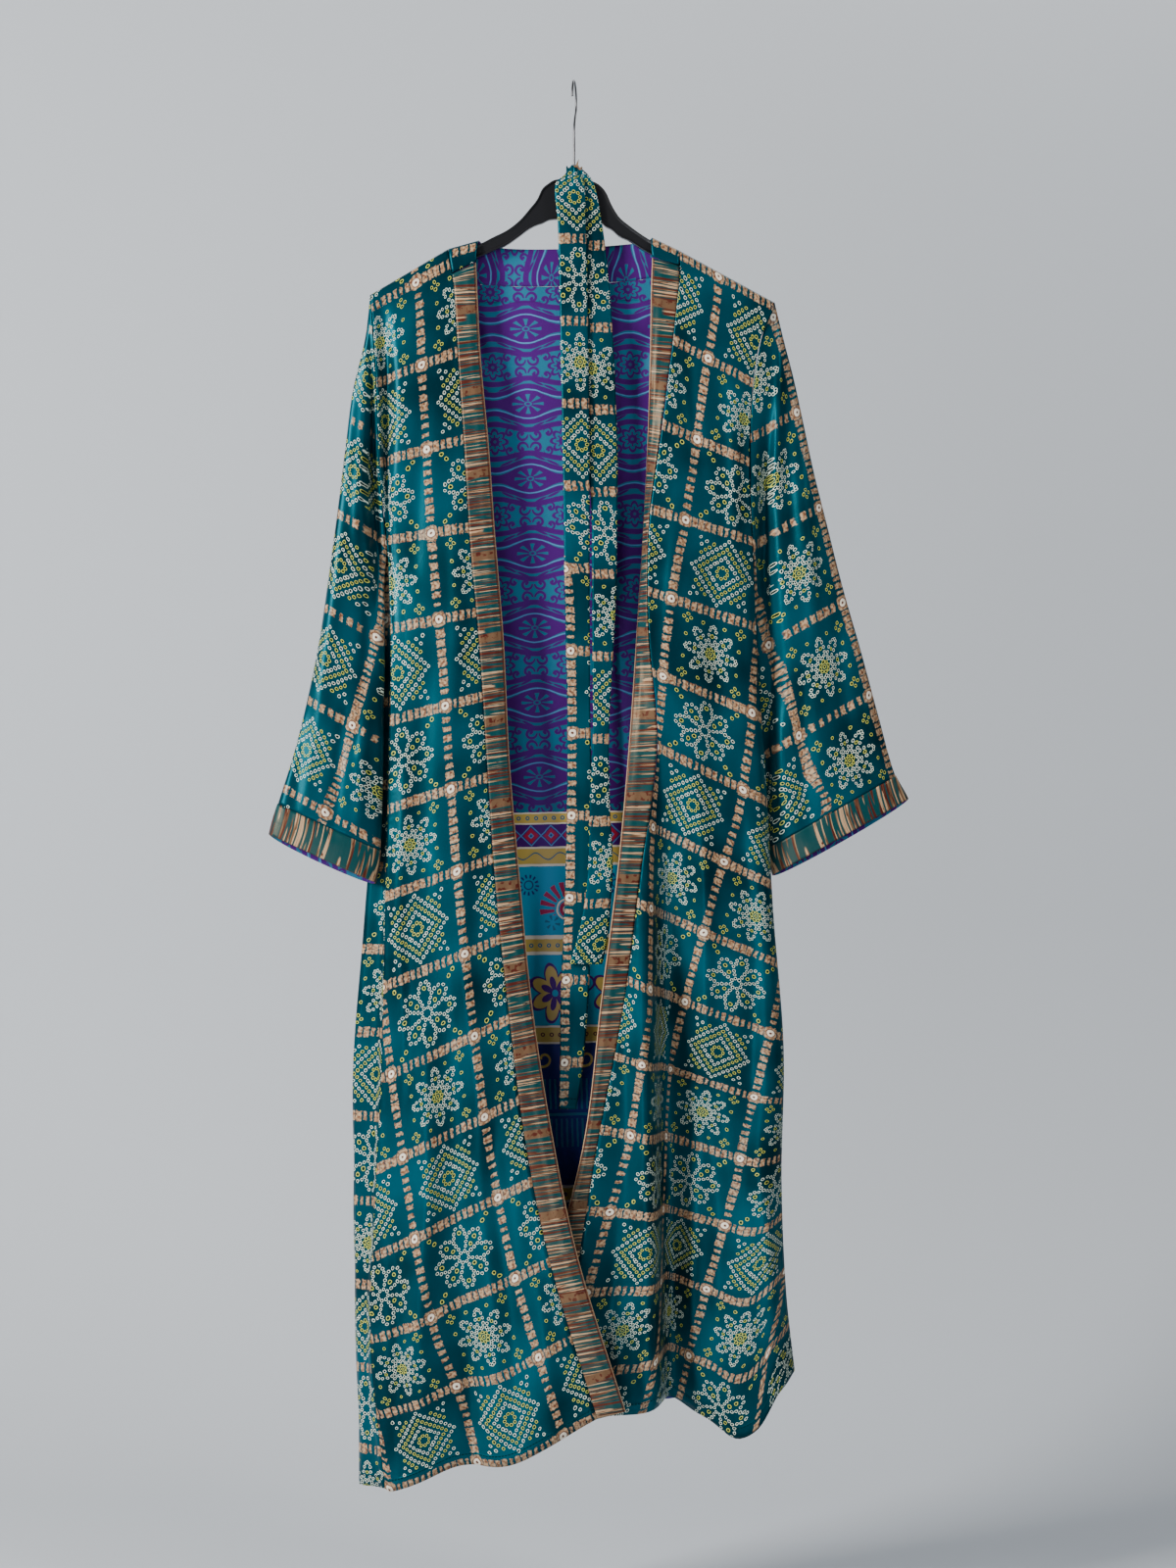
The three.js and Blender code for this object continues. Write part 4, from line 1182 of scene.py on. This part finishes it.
def make_front(which, columns):
    name = f"front_{which}"
    base = folded(front_panel(which, columns), FOLDS[name])
    shaped = swayed(rippled(creased(base, CREASES[name]), len(name), 0.4), HEM_SWAYS[name])
    grid = mix(base, shaped, side_fade(base)[..., None])
    hidden = drop = 0.0
    if which == "left":
        rows = len(grid)
        body_rows = np.linspace(0, len(BODY) - 1, rows - sum(BODY_STEPS[:3]))
        body_rows = np.concatenate([np.zeros(sum(BODY_STEPS[:3])), body_rows])
        beside, inside = (np.interp(body_rows, range(len(BODY)), [h[k] for h in HIDDEN])
                          for k in (0, 1))
        top, bottom, *_ = FOLDS[name][0]
        run = np.clip((grid[..., 2] - top[1]) / (bottom[1] - top[1]), 0, 1.1)
        past = smoothstep(grid[..., 0] - mix(top[0], bottom[0], run), -FOLD_REACH, FOLD_REACH)
        hidden = beside[:, None] + inside[:, None] * past
        drop = np.interp(body_rows, range(len(BODY)), DROP)[:, None]
    sew(f"{name}_panel", name, grid,
        body_print(name, grid, hidden, drop),
        side_and_end(grid), CLOTH, ("printed", "lining"))


def side_fade(grid):
    """0 at the side edges and the top of a panel and 1 inside, so that seams stay joined."""
    across, down = run_across(grid), run_down(grid)
    side = np.minimum(across, across[:, -1:] - across)
    return smoothstep(side, 0, 6) * smoothstep(down, 0, 30)


def make_back():
    base = folded(back_panel(92), FOLDS["back"])
    shaped = swayed(rippled(creased(base, CREASES["back"]), 1.3, 0.4), HEM_SWAYS["back"])
    grid = mix(base, shaped, side_fade(base)[..., None])
    across = run_across(grid)
    uv = body_print("back", grid)
    uv[..., 0] = across - across[:, -1:] / 2
    sew("back_panel", "back", grid, uv, side_and_end(grid), CLOTH,
        ("printed", "lining"), outward=1)
    return grid


def make_lining(back_grid):
    rows = slice(sum(BODY_STEPS[:3]) - 4, -10)
    inner = back_grid[:, 12:-9]
    normals = grid_normals(inner)
    front_facing = -np.sign(normals[..., 1].mean())
    grid = (inner + normals * front_facing * 1.45)[rows]
    uv = np.stack([run_across(grid), run_down(grid)], axis=2)
    sew("back_lining", "lining_back", grid, uv, side_and_end(grid), 0.7,
        ("lining",))


def make_band(which):
    name = f"band_{which}"
    grid = front_band(which)
    shares = run_across(grid)
    width = shares[:, -1:]
    share = shares / width
    down = run_down(grid)[:, grid.shape[1] // 2][:, None]
    normals = grid_normals(grid)
    normals = normals * -np.sign(normals[..., 1:2].mean())
    ridge = 0.9 * np.sin(math.pi * share) ** 0.7 + 0.7 * np.exp(-(((share - 0.36) / 0.1) ** 2))
    pull = 0.45 * np.sin(down / 9.5 + 2 * np.sin(down / 41)) * share * (1 - share) * 2
    grid = grid + normals * (ridge + pull)[..., None]
    uv = np.stack([shares, np.broadcast_to(down, shares.shape)], axis=2)
    edges = np.stack([shares, 60 + 0 * shares], axis=2)
    sew(f"{which}_front_band", name, grid, uv, edges, BAND, ("border", "lining"))


def make_neck_band():
    grid = neck_band()
    across, down = run_across(grid), run_down(grid)
    along = down[:, -1:]
    uv = np.stack([along + 0 * across - 20, across + 38], axis=2)
    edges = np.stack([np.minimum(across, across[:, -1:] - across), NO_END + 0 * across], axis=2)
    sew("neck_yoke", "neck_band", grid, uv, edges, CLOTH,
        ("printed", "neck lining"), outward=1)


# How the print lies on the sleeves: its slope, scale and start along and across the sleeve.
SLEEVE_PRINT = {
    "right": dict(slope=0.577, scale=0.93, start=60, line=60, sign=-1, cells=1),
    "left": dict(slope=-0.577, scale=0.87, start=23, line=8, sign=1, cells=0),
}


CUFF_STANDS, CUFF_CROWN = 0.35, 0.5  # the cuff's ends and middle stand out from its rings
CUFF_FOLD = 2.2  # its edge is a fold with no hem, so the hem's stitches are kept off it


def make_sleeve(which):
    name = f"sleeve_{which}"
    grid, bow = sleeve_rings(which)
    front = np.where(bow > 0, 1.0, 0.6)[None, :] * np.abs(bow)[None, :]
    length = run_down(grid)
    grown = smoothstep(length, 0, 40)
    grid = creased(grid, CREASES[name], front * grown)
    rings = SLEEVES[which]
    outer = np.array([ring[0] for ring in rings], dtype=float)
    middle = np.interp(-grid[..., 2], -outer[:, 1], [ring[2] for ring in rings])
    reach = np.abs(grid[..., 0] - np.interp(-grid[..., 2], -outer[:, 1], outer[:, 0]))
    around = (0.98 * reach + 0.7 * np.abs(grid[..., 1] - middle)) * np.sign(bow)[None, :]
    lie = SLEEVE_PRINT[which]
    along = -lie["scale"] * (grid[..., 2] + lie["slope"] * grid[..., 0]) - lie["start"]
    across = lie["sign"] * (around - lie["line"]) + lie["cells"] * CELL[1]
    uv = np.stack([along, across], axis=2)
    seam = 14 * (len(rings) - 2)
    edges = np.stack([length, length[-1:] - length + 40], axis=2)
    body = slice(0, seam + 1)
    sew(f"{which}_sleeve", name, grid[body], uv[body], edges[body], CLOTH,
        ("printed", "neck lining"), ring=True)
    cuff = grid[seam:].copy()
    dip = CUFF_DIP * np.clip(-bow, 0, 1)[None, :] * np.linspace(0, 1, len(cuff))[:, None]
    cuff[..., 2] -= dip
    normals = grid_normals(cuff, closed=True)
    towards = np.sign((normals[..., 1] * (cuff[..., 1] - cuff[..., 1].mean())).sum())
    rise = np.linspace(0, 1, len(cuff))[:, None]
    stands_out = CUFF_STANDS + CUFF_CROWN * np.sin(math.pi * rise)
    cuff = cuff + normals * towards * stands_out[..., None]
    cuff_down = run_down(cuff)
    cuff_uv = np.stack([cuff_down[-1:] - cuff_down + PLAIN_STRIPES,
                        CUFF_STRIPES * run_across(cuff)], axis=2)
    cuff_edges = np.stack([cuff_down[-1:] - cuff_down + CUFF_FOLD, NO_END + 0 * cuff_down], axis=2)
    sew(f"{which}_cuff", f"cuff_{which}", cuff, cuff_uv, cuff_edges, BAND,
        ("border", "neck lining"), ring=True)


# How the print lies on the sash's ends: its place across, the level of a line of gold, the whole
# squares it starts with, and how far it shifts across above the middle.
SASH_PRINT = {
    "right": dict(line=5, level=-592, cells=1, drift=34),
    "left": dict(line=-24, level=-598, cells=1, drift=14),
}


def make_sash(which):
    grid = rippled(sash_end(which), 4.0 if which == "right" else 7.0, 0.25)
    across, down = run_across(grid), run_down(grid)
    lie = SASH_PRINT[which]
    middle = grid.shape[1] // 2
    down = np.broadcast_to(down[:, middle][:, None], across.shape)
    level = np.interp(-lie["level"], -grid[:, middle, 2], down[:, 0])
    drift = lie["drift"] * smoothstep(grid[:, middle, 2], -540, -400)[:, None]
    uv = np.stack([across - lie["line"] + drift, down - level + lie["cells"] * CELL[1]], axis=2)
    sew(f"{which}_sash_end", f"sash_{which}", grid, uv, side_and_end(grid), BAND * 0.85,
        ("printed",))


def make_saddle():
    grid = sash_saddle()
    uv = np.stack([run_down(grid), run_across(grid) + 20], axis=2)
    edges = 60 + np.zeros(grid.shape[:2] + (2,))
    sew("saddle_of_sash", "sash_saddle", grid, uv, edges, BAND * 0.85, ("printed",),
        outward=1)


def hanger_outline():
    out, right, left, deep = (np.array(column, dtype=float) for column in zip(*HANGER))
    corner = [(-out[::-1], right[::-1]), (out[1:], left[1:])]
    top = np.concatenate([np.stack(pair, axis=1) for pair in corner])
    under = [(out[:0:-1], (left - deep)[:0:-1]), (-out, right - deep)]
    bottom = np.concatenate([np.stack(pair, axis=1) for pair in under])
    sides = []
    for line in (top, bottom):
        flat = np.stack([line[:, 0], 0 * line[:, 0], line[:, 1]], axis=1)[:, None, :]
        sides.append(spline(flat, np.linspace(0, len(line) - 1, 3 * len(line)))[:, 0])
    return np.concatenate(sides)


def make_hanger():
    work = bmesh.new()
    half = ARM_THICK / 2
    rim = [work.verts.new((x * MM, -half * MM, z * MM)) for x, _, z in hanger_outline()]
    front = work.faces.new(rim)
    solid = bmesh.ops.extrude_face_region(work, geom=[front])
    moved = [item for item in solid["geom"] if isinstance(item, bmesh.types.BMVert)]
    bmesh.ops.translate(work, verts=moved, vec=(0, ARM_THICK * MM, 0))
    bmesh.ops.recalc_face_normals(work, faces=work.faces)
    flats = [face for face in work.faces if abs(face.normal.y) > 0.9]
    bmesh.ops.inset_individual(work, faces=flats, thickness=1.6 * MM, depth=0)
    bmesh.ops.inset_individual(work, faces=flats, thickness=0.8 * MM, depth=-1.2 * MM)
    mesh = bpy.data.meshes.new("hanger")
    work.to_mesh(mesh)
    work.free()
    piece = new_piece("hanger", mesh, "hanger_bar", ("plastic",))
    rounding = piece.modifiers.new("rounded edges", "BEVEL")
    rounding.width = 0.5 * MM
    rounding.segments = 2
    rounding.limit_method = "ANGLE"
    for polygon in mesh.polygons:
        polygon.use_smooth = False


def make_hook(sides=14, steps=150):
    centre = WIRE - HOOK["radius"]
    flat = [(0, HOOK["stem_end"]), (0, (HOOK["stem_end"] + HOOK["kink"]) / 2), (0, HOOK["kink"]),
            (HOOK["bend"][0], HOOK["kink"] + HOOK["bend"][1])]
    for degrees in range(HOOK["first"], HOOK["last"] + 1, 13):
        angle = math.radians(degrees)
        flat.append((HOOK["radius"] * math.cos(angle), centre + HOOK["radius"] * math.sin(angle)))
    stations = [(HOOK["lean"] * y, y, z) for y, z in flat]
    path = spread(stations, np.linspace(0, 1, steps + 1))
    ahead = np.gradient(path, axis=0)
    ahead /= np.linalg.norm(ahead, axis=1, keepdims=True)
    flatwise = np.array([1, -HOOK["lean"], 0]) / math.hypot(1, HOOK["lean"])
    other = np.cross(ahead, flatwise)
    other /= np.linalg.norm(other, axis=1, keepdims=True)
    work = bmesh.new()
    turns = [2 * math.pi * k / sides for k in range(sides)]
    rings = []
    for i, spot in enumerate(path):
        ring = [spot + WIRE * (math.cos(t) * flatwise + math.sin(t) * other[i]) for t in turns]
        rings.append([work.verts.new(tuple(point * MM)) for point in ring])
    for one, two in zip(rings, rings[1:]):
        for k in range(sides):
            after = (k + 1) % sides
            work.faces.new((one[k], one[after], two[after], two[k]))
    work.faces.new(rings[0])
    work.faces.new(rings[-1])
    bmesh.ops.recalc_face_normals(work, faces=work.faces)
    mesh = bpy.data.meshes.new("hook")
    work.to_mesh(mesh)
    work.free()
    new_piece("hook", mesh, "hanger_hook", ("wire",))


# ---- the robe on its hanger ----
make_lining(make_back())
make_front("right", 46)
make_front("left", 60)
make_neck_band()
for side in ("right", "left"):
    make_band(side)
    make_sleeve(side)
    make_sash(side)
make_saddle()
make_hanger()
make_hook()


# ---- floor, backdrop and light ----
def make_stage():
    """A plain pale floor that sweeps up into a backdrop."""
    floor_level, wall, bend, wide = -1.62, 1.3, 0.7, 12.0
    front, top, bend_steps = -12.0, 3.5, 12
    profile = [(front, floor_level), (wall - bend, floor_level)]
    for k in range(1, bend_steps + 1):
        angle = math.pi / 2 * k / bend_steps
        profile.append((wall - bend + bend * math.sin(angle),
                        floor_level + bend - bend * math.cos(angle)))
    profile.append((wall, top))
    work = bmesh.new()
    lines = [[work.verts.new((x, y, z)) for x in (-wide, wide)] for y, z in profile]
    for one, two in zip(lines, lines[1:]):
        work.faces.new((one[0], one[1], two[1], two[0]))
    mesh = bpy.data.meshes.new("backdrop")
    work.to_mesh(mesh)
    work.free()
    for polygon in mesh.polygons:
        polygon.use_smooth = True
    backdrop = bpy.data.objects.new("backdrop", mesh)
    bpy.context.collection.objects.link(backdrop)
    mesh.materials.append(one_sided(plain("pale backdrop", paint(198, 203, 209), 0.9)))


def make_light(name, place, target, size, power, colour=(1, 1, 1)):
    data = bpy.data.lights.new(name, "AREA")
    data.shape = "RECTANGLE"
    data.size, data.size_y = size
    data.energy = power
    data.color = colour
    light = bpy.data.objects.new(name, data)
    light.location = place
    towards = [b - a for a, b in zip(place, target)]
    flat = math.hypot(towards[0], towards[1])
    light.rotation_euler = (math.pi / 2 + math.atan2(towards[2], flat), 0,
                            math.atan2(towards[1], towards[0]) - math.pi / 2)
    bpy.context.collection.objects.link(light)


make_stage()
MIDDLE = (0, 0, -0.8)
make_light("window", (-2.5, -1.7, 0.5), MIDDLE, (0.8, 1.6), 180, (1.0, 0.98, 0.95))
make_light("fill", (-0.9, -2.6, -1.4), (0, 0, -1.2), (0.9, 0.9), 18, (0.9, 0.95, 1.0))
make_light("back light", (0.6, 1.1, 1.0), MIDDLE, (1.6, 1.0), 12)
make_light("side light", (1.6, -1.3, 0.7), (0.3, 0, -0.45), (0.5, 0.7), 20)

world = bpy.data.worlds.new("studio")
bpy.context.scene.world = world
world.use_nodes = True
world.node_tree.nodes["Background"].inputs[0].default_value = (0.82, 0.88, 0.95, 1)
world.node_tree.nodes["Background"].inputs[1].default_value = 0.14
